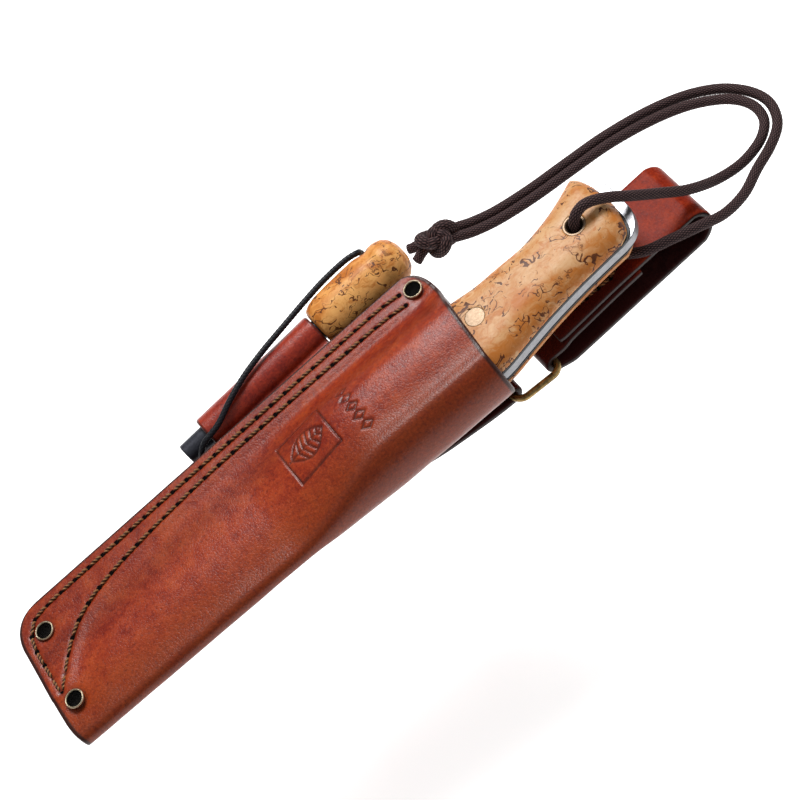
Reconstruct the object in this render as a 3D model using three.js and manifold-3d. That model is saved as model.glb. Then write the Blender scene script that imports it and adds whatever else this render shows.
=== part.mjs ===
// A whittling knife in its leather belt sheath: full-tang knife with burl scales and a cord lanyard, folded and
// welted sheath with brass eyelets, a fire steel in a side sleeve, and a belt loop hung from a brass ring.
// Millimetres, +Z up. The object lies on its back on Z = 0. +X points from the sheath's tip to the pommel,
// +Y from the folded spine side to the stitched edge.
import * as THREE from "three";
import { mergeVertices } from "three/addons/utils/BufferGeometryUtils.js";
import Module from "manifold-3d";

const wasm = await Module();
wasm.setup();

// ---------- driving dimensions ----------
const GAP = 0.3; // air between touching pieces
const THIN_GAP = 0.2; // air between the flat layers of the handle

// The sheath and the knife share one frame: the blade's middle plane is z = 0 there, and that frame is
// tilted about Y because the handle's bulge and the belt loop lift the mouth off the table.
const TILT = THREE.MathUtils.degToRad(6);
const SHEATH_PLACE = { x: 15.2, y: -21.7 }; // the sheath frame's origin, seen from above

const LEATHER = 3; // thickness of the sheath's leather
const WELT = 4; // thickness of the strip sewn between the two faces
const FLAT_HALF = WELT / 2 + GAP; // half the pocket's height where it is flat
const TIP_X = -162.4; // lowest end of the sheath
const MOUTH_X = 36.6; // far corner of the mouth
const EDGE_Y = 41.8; // the stitched edge
const WELT_WIDTH = 11.5; // the strip's width along the stitched edge

const TANG = 4; // steel thickness
const LINER = 0.8;
const SCALE = 7.3; // one scale's greatest thickness
const LINER_Z = TANG / 2 + THIN_GAP;
const SCALE_Z = LINER_Z + LINER + THIN_GAP;
const HANDLE_HALF = SCALE_Z + SCALE;
const SCALE_ROUND = 10; // how far the scale's rounding reaches in from its edge
const HANDLE_X = -12; // front end of the handle
const PIN_R = 3.75;
const PINS = { pin_rear: [38.9, 3.6], pin_front: [0, 2.2] };
const TUBE = { x: 86.2, y: 4.8, outer: 4.3, inner: 3.2 };

const STRAP = 2.8; // thickness of the back tab and the belt loop
const WIRE_R = 1.35; // the ring's wire
const RING = { x0: 48.4, x1: 68.2, y: -19.8, half: 16.3, z: WIRE_R + GAP + STRAP, corner: 4.2 };

const CORD_R = 1.9; // the lanyard
const ELASTIC_R = 1.2;
const ROD_R = 4.2; // the fire steel's rod
const SLEEVE_R = 6.9;
const STEEL_AXIS = { x: -71.4, y: 50.1, slope: 0.045 }; // one end of the rod, and the axis' slant

// ---------- geometry helpers ----------
const v3 = (x, y, z) => new THREE.Vector3(x, y, z);
const { smoothstep, lerp } = THREE.MathUtils;

// A closed surface's signed volume times six: negative when its faces point inwards.
function signedVolume(position, index) {
  const [a, b, c] = [v3(), v3(), v3()];
  let sum = 0;
  for (let i = 0; i < index.length; i += 3) {
    a.fromArray(position, 3 * index[i]);
    b.fromArray(position, 3 * index[i + 1]);
    c.fromArray(position, 3 * index[i + 2]);
    sum += a.dot(b.cross(c));
  }
  return sum;
}

// Merges a geometry's shared vertices and turns its faces outwards.
function closed(geometry) {
  const plain = geometry.index ? geometry.toNonIndexed() : geometry.clone();
  const bare = new THREE.BufferGeometry().setAttribute("position", plain.getAttribute("position"));
  const merged = mergeVertices(bare, 1e-4);
  const index = Array.from(merged.index.array);
  if (signedVolume(merged.attributes.position.array, index) < 0) index.reverse();
  merged.setIndex(index);
  merged.computeVertexNormals();
  return merged;
}

function solid(geometry) {
  const g = closed(geometry);
  const vertProperties = g.attributes.position.array;
  const triVerts = new Uint32Array(g.index.array);
  return new wasm.Manifold(new wasm.Mesh({ numProp: 3, vertProperties, triVerts }));
}

function geometryOf(made) {
  const mesh = made.getMesh();
  const g = new THREE.BufferGeometry();
  g.setAttribute("position", new THREE.BufferAttribute(mesh.vertProperties, 3));
  g.setIndex(new THREE.BufferAttribute(mesh.triVerts, 1));
  g.computeVertexNormals();
  return g;
}

const cut = (geometry, ...tools) =>
  geometryOf(tools.reduce((left, tool) => left.subtract(solid(tool)), solid(geometry)));
const join = (...parts) => geometryOf(parts.map(solid).reduce((a, b) => a.add(b)));
const common = (a, b) => geometryOf(solid(a).intersect(solid(b)));

// A closed body through rings of equal point counts; each end ring is closed by a flat cap.
function loft(rings, capAxes = ["y", "z"]) {
  const n = rings[0].length;
  const position = rings.flat().flatMap((p) => [p.x, p.y, p.z]);
  const index = [];
  for (let r = 0; r + 1 < rings.length; r++)
    for (let i = 0; i < n; i++) {
      const [a, b, c, d] = [r * n + i, r * n + ((i + 1) % n), (r + 1) * n + ((i + 1) % n), (r + 1) * n + i];
      index.push(a, b, c, a, c, d);
    }
  const flat = rings[0].map((p) => new THREE.Vector2(p[capAxes[0]], p[capAxes[1]]));
  const wasClockwise = THREE.ShapeUtils.isClockWise(flat);
  const last = (rings.length - 1) * n;
  for (const start of [0, last]) {
    const ring = rings[start / n].map((p) => new THREE.Vector2(p[capAxes[0]], p[capAxes[1]]));
    for (const [a, b, c] of THREE.ShapeUtils.triangulateShape(ring, [])) {
      const flip = (start === 0) === !wasClockwise;
      if (flip) index.push(start + a, start + c, start + b);
      else index.push(start + a, start + b, start + c);
    }
  }
  const g = new THREE.BufferGeometry();
  g.setAttribute("position", new THREE.Float32BufferAttribute(position, 3));
  g.setIndex(index);
  return closed(g);
}

// A flat outline with thickness, from z0 to z1.
function plate(shape, z0, z1, curveSegments = 12) {
  const g = new THREE.ExtrudeGeometry(shape, { depth: z1 - z0, bevelEnabled: false, curveSegments });
  return g.translate(0, 0, z0);
}

function shapeOf(points) {
  return new THREE.Shape(points.map(([x, y]) => new THREE.Vector2(x, y)));
}

// A round rod along a curve through points.
function rod(points, radius, steps, sides = 8, tension = 0.5) {
  const path = new THREE.CatmullRomCurve3(points.map((p) => v3(...p)), false, "catmullrom", tension);
  const section = new THREE.Shape();
  for (let i = 0; i < sides; i++) {
    const a = (2 * Math.PI * i) / sides;
    const at = [radius * Math.cos(a), radius * Math.sin(a)];
    if (i === 0) section.moveTo(...at);
    else section.lineTo(...at);
  }
  return closed(new THREE.ExtrudeGeometry(section, { steps, extrudePath: path, bevelEnabled: false }));
}

// A turned body about the z axis from [radius, height] points.
function turned(profile, segments = 24) {
  const g = new THREE.LatheGeometry(profile.map(([r, z]) => new THREE.Vector2(r, z)), segments);
  return closed(g.rotateX(Math.PI / 2));
}

function drum(radius, z0, z1, x, y, segments = 24) {
  return turned([[0, z0], [radius, z0], [radius, z1], [0, z1]], segments).translate(x, y, 0);
}

// Smooth height of a curve given by [x, value] points.
function along(points) {
  return (x) => {
    const last = points.length - 1;
    if (x <= points[0][0]) return points[0][1];
    if (x >= points[last][0]) return points[last][1];
    const i = points.findIndex((p) => p[0] > x) - 1;
    const slope = (k) => {
      const [a, b] = [points[Math.max(k - 1, 0)], points[Math.min(k + 1, last)]];
      return (b[1] - a[1]) / (b[0] - a[0]);
    };
    const [[x0, y0], [x1, y1]] = [points[i], points[i + 1]];
    const [w, t] = [x1 - x0, (x - x0) / (x1 - x0)];
    const [h, s] = [(2 * t - 3) * t * t + 1, t * t * (3 - 2 * t)];
    return h * y0 + s * y1 + w * (t * (t - 1) * (t - 1) * slope(i) + t * t * (t - 1) * slope(i + 1));
  };
}

// ---------- scene graph ----------
const object = new THREE.Group();
const sheathFrame = new THREE.Group();
sheathFrame.rotation.y = -TILT;
const PROUD = 0.55; // how far the back's stitches and eyelets stand off the leather
const lift = -TIP_X * Math.sin(TILT) + (FLAT_HALF + LEATHER) * Math.cos(TILT) + PROUD;
sheathFrame.position.set(SHEATH_PLACE.x, SHEATH_PLACE.y, lift);
object.add(sheathFrame);

const finish = (color, roughness, metalness = 0) =>
  new THREE.MeshStandardMaterial({ color, roughness, metalness });
const LOOK = {
  leather: finish(0x8e3420, 0.5),
  strap: finish(0x7c2c1c, 0.5),
  thread: finish(0x6b5330, 0.8),
  brass: finish(0x8a6b3a, 0.4, 1),
  brightBrass: finish(0xcdb98a, 0.3, 1),
  steel: finish(0xa9a9ac, 0.35, 1),
  liner: finish(0x101012, 0.6),
  burl: finish(0xd9a267, 0.45),
  cord: finish(0x35222a, 0.9),
  elastic: finish(0x14151b, 0.8),
  ferro: finish(0x26272e, 0.45, 0.6),
};

function add(parent, name, geometry, look) {
  const mesh = new THREE.Mesh(geometry, LOOK[look]);
  mesh.name = name;
  parent.add(mesh);
}

// ---------- sheath: the pocket's shape ----------
// The pocket's inner spine line, its bulge over the handle and where that bulge ends.
const foldY = (x) => lerp(-13.0, -18.1, (x - TIP_X) / (MOUTH_X - TIP_X));
const bulge = (x) => (HANDLE_HALF + 0.7 - FLAT_HALF) * smoothstep(x, -64, -14);
const foldDepth = (x) => lerp(FLAT_HALF, 9.8, smoothstep(x, -64, -14));

// Half of the pocket's inner section at x, from the spine fold to the stitched edge, as [y, z].
function innerHalf(x) {
  const height = FLAT_HALF + bulge(x);
  const [depth, spine] = [foldDepth(x), foldY(x)];
  const half = [];
  for (const degrees of [0, 15, 30, 45, 60, 75, 90]) {
    const a = THREE.MathUtils.degToRad(degrees);
    half.push([spine + depth * (1 - Math.cos(a)), height * Math.sin(a)]);
  }
  const [start, end] = [10, 29];
  for (const t of [0, 0.2, 0.4, 0.6, 0.8, 1]) {
    const fall = (1 + Math.cos(Math.PI * t)) / 2;
    half.push([lerp(start, end, t), FLAT_HALF + bulge(x) * fall]);
  }
  half.push([EDGE_Y + 1, FLAT_HALF]);
  return half;
}

// The same line moved outwards by a distance.
function offsetLine(line, distance) {
  return line.map((p, i) => {
    const [a, b] = [line[Math.max(i - 1, 0)], line[Math.min(i + 1, line.length - 1)]];
    const [dy, dz] = i === 0 ? [0, 1] : [b[0] - a[0], b[1] - a[1]];
    const length = Math.hypot(dy, dz);
    return [p[0] - (distance * dz) / length, p[1] + (distance * dy) / length];
  });
}

const mirrored = (half) => half.slice(1).map(([y, z]) => [y, -z]).reverse();

function pouchRing(x) {
  const inner = innerHalf(x);
  const outer = offsetLine(inner, LEATHER);
  const round = [...[...outer].reverse(), ...mirrored(outer).reverse()];
  const back = [...mirrored(inner), ...inner];
  return [...round, ...back].map(([y, z]) => v3(x, y, z));
}

// The sheath's outline seen from the front, with its rounded corners.
function sheathOutline(inset = 0) {
  const s = new THREE.Shape();
  const [edge, low] = [EDGE_Y - inset, -30];
  s.moveTo(31.8 - inset, low);
  s.lineTo(32.4 - inset, -12);
  s.lineTo(MOUTH_X - 0.4 - inset, 26);
  s.quadraticCurveTo(MOUTH_X - inset, edge, 27, edge);
  s.lineTo(-147, edge);
  s.quadraticCurveTo(-158.6 + inset, edge - 0.6, -160 + inset, 29);
  s.lineTo(TIP_X + inset, -6);
  s.quadraticCurveTo(TIP_X + inset, -17, -158, -23);
  s.lineTo(-158, low);
  s.closePath();
  return s;
}

const EYELETS = { eyelet_mouth: [29.8, 34.3], eyelet_corner: [-149.9, 29.4], eyelet_tip: [-154.8, -1.4] };
const EYELET_HOLE = 3.5;
const eyeletHoles = () => Object.values(EYELETS).map(([x, y]) => drum(EYELET_HOLE, -8, 8, x, y, 20));

function pouch() {
  const stations = [-170, -110, -64, -56, -48, -39, -30, -22, -14, 10, 40];
  const body = loft(stations.map(pouchRing));
  return cut(common(body, plate(sheathOutline(), -30, 30, 8)), ...eyeletHoles());
}

// The strip between the faces: along the stitched edge, then round the tip behind the inner row of stitches.
function welt() {
  const s = new THREE.Shape();
  const inside = EDGE_Y - WELT_WIDTH;
  s.moveTo(60, EDGE_Y + 5);
  s.lineTo(60, inside);
  s.lineTo(-104, inside);
  s.bezierCurveTo(-126, inside - 2, -140, 21, -150.5, 5.5);
  s.quadraticCurveTo(-151.5, 4, -151.5, -5);
  s.lineTo(-190, -5);
  s.lineTo(-190, EDGE_Y + 5);
  s.closePath();
  const strip = common(plate(s, -WELT / 2, WELT / 2), plate(sheathOutline(), -5, 5, 8));
  const notch = plate(shapeOf([[-70, EDGE_Y - 7], [-4.5, EDGE_Y - 7], [-4.5, 60], [-70, 60]]), -5, 5);
  return cut(strip, notch, ...eyeletHoles());
}

add(sheathFrame, "pouch", pouch(), "leather");
add(sheathFrame, "welt", welt(), "leather");

// ---------- sheath: stitches and eyelets ----------
const STITCH_R = 0.45;
const STITCH_Z = FLAT_HALF + LEATHER + STITCH_R + 0.15;
const OUTER_ROW = [
  [24, 36.8], [12, 37.7], [-40, 37.9], [-90, 38], [-138.1, 37.6], [-144.4, 37.3], [-150.5, 36.3],
  [-154.7, 32], [-156.5, 25.9], [-157.3, 12.1], [-157.7, 5.4],
];
const INNER_ROW = [
  [22, 30.8], [10, 32.6], [-30, 33.4], [-70, 33.2], [-100, 31.4], [-115.7, 29.6], [-128.6, 26.9],
  [-139.7, 21.9], [-149.4, 13.2], [-153.3, 8.4], [-156, 5],
];
for (const [side, z] of [["front", STITCH_Z], ["back", -STITCH_Z]]) {
  const lay = (row) => row.map(([x, y]) => [x, y, z]);
  add(sheathFrame, `outer_stitching_${side}`, rod(lay(OUTER_ROW), STITCH_R, 44, 4), "thread");
  add(sheathFrame, `inner_stitching_${side}`, rod(lay(INNER_ROW), STITCH_R, 40, 4), "thread");
}

// A rolled brass eyelet: a barrel through the leather with a flange on each face.
function eyelet(x, y) {
  const [bore, barrel, flange] = [2.95, 3.25, 3.75];
  const [face, top] = [FLAT_HALF + LEATHER + 0.15, FLAT_HALF + LEATHER + 0.85];
  const half = [[bore, top - 0.3], [bore + 0.35, top], [flange - 0.3, top], [flange, face], [barrel, face]];
  const other = half.map(([r, z]) => [r, -z]).reverse();
  return turned([...half, ...other, half[0]], 24).translate(x, y, 0);
}
for (const [name, [x, y]] of Object.entries(EYELETS)) add(sheathFrame, name, eyelet(x, y), "brass");

// ---------- knife ----------
const spineY = along([
  [-12, -15.6], [10, -16.2], [34, -16.6], [46, -14.7], [58, -12.7], [72, -11.2], [86, -10.4], [94, -10.1],
]);
const gripY = along([
  [-12, 15], [-6, 17.2], [2, 19.2], [12, 19.6], [24, 19.4], [35, 18.9], [46, 17.2], [56, 16.9],
  [68, 16.6], [80, 18.6], [88, 21], [97, 24.6],
]);
const SCALE_END = 101.8;
const beak = along([[97, 24.6], [99, 22.6], [101, 17.5], [SCALE_END, 11]]);
const corner = along([[94, -10.1], [98.4, -7.4], [100.4, -2.6], [SCALE_END, 3]]);
const scaleSpine = (x) => (x < 94 ? spineY(x) : corner(x));
const scaleGrip = (x) => (x < 97 ? gripY(x) : beak(x));

// One scale's section at x: flat against the liner, domed outside.
function scaleRing(x, side) {
  const [y0, y1] = [scaleSpine(x), scaleGrip(x)];
  const reach = Math.min(SCALE_ROUND, (y1 - y0) / 2 - 0.5);
  const front = Math.min(1, (x - HANDLE_X + 0.8) / 6);
  const back = Math.min(1, (SCALE_END + 0.4 - x) / 8);
  const dome = (t) => Math.sqrt(1 - (1 - t) * (1 - t));
  const height = SCALE * dome(front) * dome(back);
  const ring = [];
  for (const degrees of [0, 14, 30, 50, 70, 90]) {
    const a = THREE.MathUtils.degToRad(degrees);
    ring.push([y0 + reach * (1 - Math.cos(a)), SCALE_Z + height * Math.sin(a)]);
  }
  for (const degrees of [90, 70, 50, 30, 14, 0]) {
    const a = THREE.MathUtils.degToRad(degrees);
    ring.push([y1 - reach * (1 - Math.cos(a)), SCALE_Z + height * Math.sin(a)]);
  }
  return ring.map(([y, z]) => v3(x, y, side * z));
}

const SCALE_STATIONS = [
  -12, -10.5, -8, -5, 2, 12, 24, 34, 42, 50, 58, 68, 78, 86, 92, 95, 97, 98.6, 100, 101, SCALE_END,
];
const pinHoles = () => [
  ...Object.values(PINS).map(([x, y]) => drum(PIN_R + 0.2, -15, 15, x, y, 20)),
  drum(TUBE.outer + 0.2, -15, 15, TUBE.x, TUBE.y, 20),
];

// The handle's outline in plan, shared by the liners (and by the tang, which reaches further at the butt).
function handleOutline(endX) {
  const xs = SCALE_STATIONS.filter((x) => x <= 97);
  const spineSide = xs.filter((x) => x <= 94).map((x) => new THREE.Vector2(x, spineY(x)));
  const gripSide = xs.map((x) => new THREE.Vector2(x, gripY(x))).reverse();
  const out = endX - SCALE_END;
  const butt = [[97.6, -9], [100.2, -6], [101.6, -1], [101.9, 5], [101.9, 11], [101.3, 16.5], [99.2, 21.8]];
  const share = [0.4, 0.7, 0.95, 1, 1, 1.05, 0.9];
  const end = butt.map(([x, y], i) => new THREE.Vector2(x + out * share[i], y));
  return new THREE.Shape([...spineSide, ...end, ...gripSide]);
}

// The blade's section at x: two flat flanks that meet in a ground edge.
function bladeRing(x) {
  const [spine, edge, grind] = [bladeSpine(x), bladeEdge(x), grindLine(x)];
  const t = TANG / 2;
  return [[spine, t], [spine, -t], [grind, -t], [edge, -0.15], [edge, 0.15], [grind, t]]
    .map(([y, z]) => v3(x, y, z));
}
const bladeSpine = along([
  [-140, -4.6], [-132, -8.2], [-120, -11.4], [-104, -12.4], [-60, -13.6], [-10, -15],
]);
const bladeEdge = along([
  [-140, -3.9], [-137, -0.6], [-131, 4], [-122, 8.4], [-110, 11.2], [-95, 12.4], [-60, 12.9], [-22, 13],
]);
const grindLine = along([
  [-140, -4.3], [-137, -3.4], [-131, -1.4], [-122, 1.4], [-110, 3.6], [-95, 4.8], [-22, 5.2],
]);

function blade() {
  const ground = loft([-140, -137, -131, -122, -110, -95, -60, -24].map(bladeRing));
  const ricasso = plate(shapeOf([
    [-24.4, bladeSpine(-24.4)], [-10, -14.9], [-10, 13], [-17, 12.6], [-19, 9.5], [-22, 9.2], [-24.4, 5],
  ]), -TANG / 2, TANG / 2);
  const tang = plate(handleOutline(105.7), -TANG / 2, TANG / 2);
  return cut(join(ground, ricasso, tang), ...pinHoles());
}

// The knife's pieces in the sheath frame.
function addKnife(parent) {
  add(parent, "blade", blade(), "steel");
  for (const [side, sign] of [["front", 1], ["back", -1]]) {
    const [z0, z1] = sign > 0 ? [LINER_Z, LINER_Z + LINER] : [-LINER_Z - LINER, -LINER_Z];
    add(parent, `liner_${side}`, cut(plate(handleOutline(SCALE_END), z0, z1), ...pinHoles()), "liner");
    const scale = loft(SCALE_STATIONS.map((x) => scaleRing(x, sign)));
    add(parent, `scale_${side}`, cut(scale, ...pinHoles()), "burl");
  }
  for (const [name, [x, y]] of Object.entries(PINS))
    add(parent, name, drum(PIN_R, -HANDLE_HALF, HANDLE_HALF, x, y, 20), "brightBrass");
  const [r0, r1, h] = [TUBE.inner, TUBE.outer, HANDLE_HALF + 0.1];
  const half = [[r0, h - 0.4], [r0 + 0.4, h], [r1, h]];
  const other = half.map(([r, z]) => [r, -z]).reverse();
  const tube = turned([...half, ...other, half[0]]);
  add(parent, "lanyard_tube", tube.translate(TUBE.x, TUBE.y, 0), "brightBrass");
}
addKnife(sheathFrame);

// ---------- fire steel and its leather sleeve ----------
const steelGroup = new THREE.Group();
steelGroup.position.set(STEEL_AXIS.x, STEEL_AXIS.y, 0);
steelGroup.rotation.z = Math.atan(STEEL_AXIS.slope);
sheathFrame.add(steelGroup);
const lengthwise = (geometry) => geometry.rotateY(Math.PI / 2); // a turned body's axis laid along +X

const SLEEVE = { x0: 10.8, x1: 66, tongueLow: -60.9, tongueHigh: -9.5 };
function sleeve() {
  const [outer, inner] = [SLEEVE_R, ROD_R + 0.4];
  const { x0, x1, tongueLow, tongueHigh } = SLEEVE;
  const tube = lengthwise(turned([[inner, x0], [outer, x0], [outer, x1], [inner, x1], [inner, x0]]));
  const turn = -Math.atan(STEEL_AXIS.slope);
  const seam = EDGE_Y - 6.6;
  const outline = [[tongueLow, seam], [tongueHigh, seam], [tongueHigh, 46.5], [tongueLow, 44.2]];
  const flange = plate(shapeOf(outline), -1.8, 1.8).translate(-STEEL_AXIS.x, -STEEL_AXIS.y, 0).rotateZ(turn);
  const bore = lengthwise(drum(inner, 0, 80, 0, 0, 24));
  return cut(join(tube, flange), bore);
}
add(steelGroup, "firesteel_sleeve", sleeve(), "leather");
add(steelGroup, "ferro_rod", lengthwise(turned([
  [0, 0], [ROD_R - 0.4, 0], [ROD_R, 0.4], [ROD_R, 84.6], [ROD_R - 0.4, 85], [0, 85],
])), "ferro");

// The turned wooden handle, with a groove for the elastic and a blind hole for the rod.
function steelHandle() {
  const bore = ROD_R + GAP;
  return lengthwise(turned([
    [0, 85.4], [bore, 85.4], [bore, 66.6], [6.6, 66.6], [8.1, 67.4], [9.1, 69.4], [9.8, 73], [10, 79],
    [10, 88], [9.9, 92], [9.5, 94], [9.1, 96], [9.1, 98.2], [9.5, 100], [9.4, 102], [8.4, 105], [6.4, 107.2],
    [3.4, 108.3], [0, 108.6],
  ]));
}
add(steelGroup, "firesteel_handle", steelHandle(), "burl");

// The elastic loop: from the sheath's edge over the sleeve's front, round the groove, and back behind it.
const ELASTIC_ROUTE = [
  [3.2, -12.4, 0], [3.2, -9.2, 0], [3.6, -6.9, 1.7], [5.6, -6.4, 4.5], [8.6, -6, 6.3], [12, -5.7, 6.8],
  [17, -4.9, 7.3], [26, -1.8, 8.8], [35.5, 1.4, 9], [46, 4, 8.6], [58, 6.2, 8], [70, 8.5, 7.1],
  [80, 9.9, 6.5], [90, 10.1, 6.1], [95.5, 9.4, 5.4], [97.1, 10.6, 2], [97.1, 9.8, -5], [97.1, 4.6, -10],
  [97.1, -2.6, -10.7], [97, -8, -7.7], [94.6, -9.6, -6.6], [88, -9.8, -6.9], [80, -9.8, -7], [66, -9.8, -7.1],
  [50, -9.7, -7], [34, -9.7, -7], [20, -9.7, -7], [15.6, -8.7, -7], [12.6, -7.5, -6.4], [10.8, -7.1, -5],
  [9, -7.1, -2.8], [7.7, -7.5, -1], [6.8, -9.4, 0], [6.8, -12.4, 0],
];
add(steelGroup, "elastic_loop", rod(ELASTIC_ROUTE, ELASTIC_R, 76, 8), "elastic");

// ---------- back tab, ring and belt loop ----------
// A strap's side profile: a line of [x, z] with thickness, given width along y by a function of x and z.
function strap(line, thickness, span) {
  const one = offsetLine(line, thickness / 2);
  const two = offsetLine(line, -thickness / 2).reverse();
  const profile = [...one, ...two];
  const rings = [0, 1].map((end) => profile.map(([x, z]) => v3(x, span(x, z)[end], z)));
  return loft(rings, ["x", "z"]);
}

// An arc of [x, z] points about a centre, from one angle to another in degrees.
function arc(cx, cz, r, from, to, steps) {
  return Array.from({ length: steps + 1 }, (_, i) => {
    const a = THREE.MathUtils.degToRad(lerp(from, to, i / steps));
    return [cx + r * Math.cos(a), cz + r * Math.sin(a)];
  });
}

const HOLD_R = WIRE_R + GAP + STRAP / 2; // the straps' middle line round the ring's wire

// The height of the sheath's back above the table at x.
function backHeight(x) {
  const local = x - SHEATH_PLACE.x;
  return lift + local * Math.sin(TILT) - (FLAT_HALF + bulge(local) + LEATHER) * Math.cos(TILT);
}

const TAB_SPAN = [RING.y - 13, RING.y + 12.8];
function backTab() {
  const under = (x) => backHeight(x) - 1.5 * GAP - STRAP / 2;
  const line = [
    ...[-40, -31, -22, -12, -3, 5].map((x) => [x, under(x)]),
    [20, 3.2], [34, 1.9], [42, STRAP / 2],
    ...arc(RING.x0, RING.z, HOLD_R, -90, 90, 8),
    [42, RING.z + HOLD_R - 0.3], [34, 6.2], [26, 6.1],
  ];
  return strap(line, STRAP, () => TAB_SPAN);
}
add(object, "back_tab", backTab(), "strap");

// A row of stitches along three sides of a strap's end: out at one side, across, and back at the other.
function stitchedEnd(x0, x1, low, high, level) {
  const side = (y) => [0, 0.25, 0.5, 0.75, 0.94].map((t) => [lerp(x0, x1, t), y]);
  const turn = Math.sign(x1 - x0) * 1.6;
  const middle = [x1 + turn * 0.1, (low + high) / 2];
  const across = [[x1, lerp(low, high, 0.1)], middle, [x1, lerp(low, high, 0.9)]];
  const route = [...side(low), ...across, ...side(high).reverse()];
  return rod(route.map(([x, y]) => [x, y, level(x)]), STITCH_R, 40, 4);
}
const tabLevel = (x) => backHeight(x) - 1.5 * GAP - STRAP - STITCH_R - 0.35;
add(object, "tab_stitching", stitchedEnd(2, -37, TAB_SPAN[0] + 4, TAB_SPAN[1] - 4, tabLevel), "thread");

// The ring: round wire bent to a rectangle with round corners.
function ring() {
  const { x0, x1, y, half, z, corner: r } = RING;
  const [low, high] = [y - half, y + half];
  const corners = [[x1, low], [x1, high], [x0, high], [x0, low]];
  const points = [];
  corners.forEach(([cx, cy], i) => {
    const [sx, sy] = [cx === x1 ? -1 : 1, cy === high ? -1 : 1];
    const start = 270 + 90 * i;
    for (let k = 0; k <= 4; k++) {
      const a = THREE.MathUtils.degToRad(start + (90 * k) / 4);
      points.push(v3(cx + sx * r + r * Math.cos(a), cy + sy * r + r * Math.sin(a), z));
    }
  });
  const n = points.length;
  const sides = 8;
  const rings = points.map((p, i) => {
    const d = points[(i + 1) % n].clone().sub(points[(i + n - 1) % n]).normalize();
    const out = v3(d.y, -d.x, 0);
    return Array.from({ length: sides }, (_, s) => {
      const a = (2 * Math.PI * s) / sides;
      return p.clone().addScaledVector(out, WIRE_R * Math.cos(a)).add(v3(0, 0, WIRE_R * Math.sin(a)));
    });
  });
  const position = rings.flat().flatMap((p) => [p.x, p.y, p.z]);
  const index = [];
  for (let i = 0; i < n; i++)
    for (let s = 0; s < sides; s++) {
      const [j, t] = [(i + 1) % n, (s + 1) % sides];
      const [a, b, c, e] = [i * sides + s, j * sides + s, j * sides + t, i * sides + t];
      index.push(a, b, c, a, c, e);
    }
  const g = new THREE.BufferGeometry();
  g.setAttribute("position", new THREE.Float32BufferAttribute(position, 3));
  g.setIndex(index);
  return closed(g);
}
add(object, "dangler_ring", ring(), "brass");

// The belt loop: one strap whose back leg lies on the table, turns round the ring and is sewn under the
// front leg. Its legs lean a little towards the stitched edge.
const LOOP = { width: 29.8, apexX: 145.8, top: 15.8, end: 112, lap: 73 };
function loopSpan(x, z) {
  const nearRing = 2 * smoothstep(-x, -76, -66);
  const right = -35.3 + 0.088 * (x - 70) + 0.16 * z + nearRing;
  return [right, right + LOOP.width - 2 * nearRing];
}
function beltLoop() {
  const half = STRAP / 2;
  const [bend, inner] = [(LOOP.top - STRAP) / 2, LOOP.top - STRAP - GAP - half];
  const apex = arc(LOOP.apexX - bend - half, LOOP.top - half - bend, bend, 90, -90, 10);
  const line = [
    [LOOP.lap, LOOP.top - half - 1.1], [84, LOOP.top - half - 0.6],
    [100, LOOP.top - half], [118, LOOP.top - half],
    ...apex, [120, half], [100, half], [84, half],
    ...arc(RING.x1, RING.z, HOLD_R, -90, -270, 8),
    [72.5, inner - 2.6], [77, inner - 1], [86, inner - 0.6], [100, inner - 0.1], [LOOP.end, inner],
  ];
  return strap(line, STRAP, loopSpan);
}
add(object, "belt_loop", beltLoop(), "strap");
const [loopLow, loopHigh] = loopSpan(95, LOOP.top);
const loopLevel = () => LOOP.top + STITCH_R + 0.2;
add(object, "belt_loop_stitching", stitchedEnd(79, 105, loopLow + 4.5, loopHigh - 4.5, loopLevel), "thread");

// ---------- lanyard ----------
// Two runs of one cord leave the tube's two mouths, lie round the belt loop and meet again in the knot.
const FRONT_RUN = [
  [100.85, -16.9, 32], [100.45, -16.9, 36], [100, -16.9, 40.4], [100.5, -16.8, 44], [103, -16.6, 46.9],
  [107.4, -16.7, 47.7], [114.2, -18, 45], [124, -19.4, 37.2], [133.6, -19.6, 28.6], [143.6, -19.8, 20.2],
  [156.4, -16, 8.8], [168.8, -12.9, 2.4], [178, -10.9, 2.1], [184.2, -7.6, 2.1], [188.2, -2.8, 2.1],
  [189.3, 4, 2.1], [187, 10.8, 2.1], [181.4, 17.2, 2.1], [171.5, 23.6, 2.1], [158, 28.4, 2.1],
  [141, 31.7, 2.1], [124, 32.8, 2.1], [107, 33.6, 2.1], [92, 35.3, 2.2], [82, 37.2, 3], [75.5, 38.9, 4.4],
];
const BACK_RUN = [
  [101, -16.9, 31.2], [101.45, -16.9, 27], [101.9, -16.9, 23.2], [103.2, -17.6, 20.4], [106.4, -20, 19],
  [111, -24.2, 18.9], [117.2, -28.4, 18.8], [127, -30.4, 17.6], [138, -31.2, 14.4], [149.6, -29.4, 8],
  [161.6, -24.4, 2.8], [172, -18.9, 2.1], [181.8, -14.6, 2.1], [189.6, -9.2, 2.1], [193.6, -2, 2.1],
  [194.1, 5.2, 2.1], [191.2, 13, 2.1], [185, 20.8, 2.1], [174.4, 27.8, 2.1], [160, 32.8, 2.1],
  [142, 36, 2.1], [124.4, 37.1, 2.1], [107.4, 37.9, 2.1], [92.6, 39.6, 2.2], [83, 41.6, 3], [76.6, 43.3, 4.4],
];
const KNOT = { x: 68.1, y: 42.8, z: 6.3, size: [7.4, 6, 5.6], turn: -0.38 };
const TAILS = {
  tail_outer: [[60.8, 48.6, 3.6], [59.4, 49.7, 2.6], [57.5, 51, 2.1]],
  tail_inner: [[59.9, 44.4, 3.4], [58.3, 44.1, 2.6], [56.4, 43.7, 2.1]],
};
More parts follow.
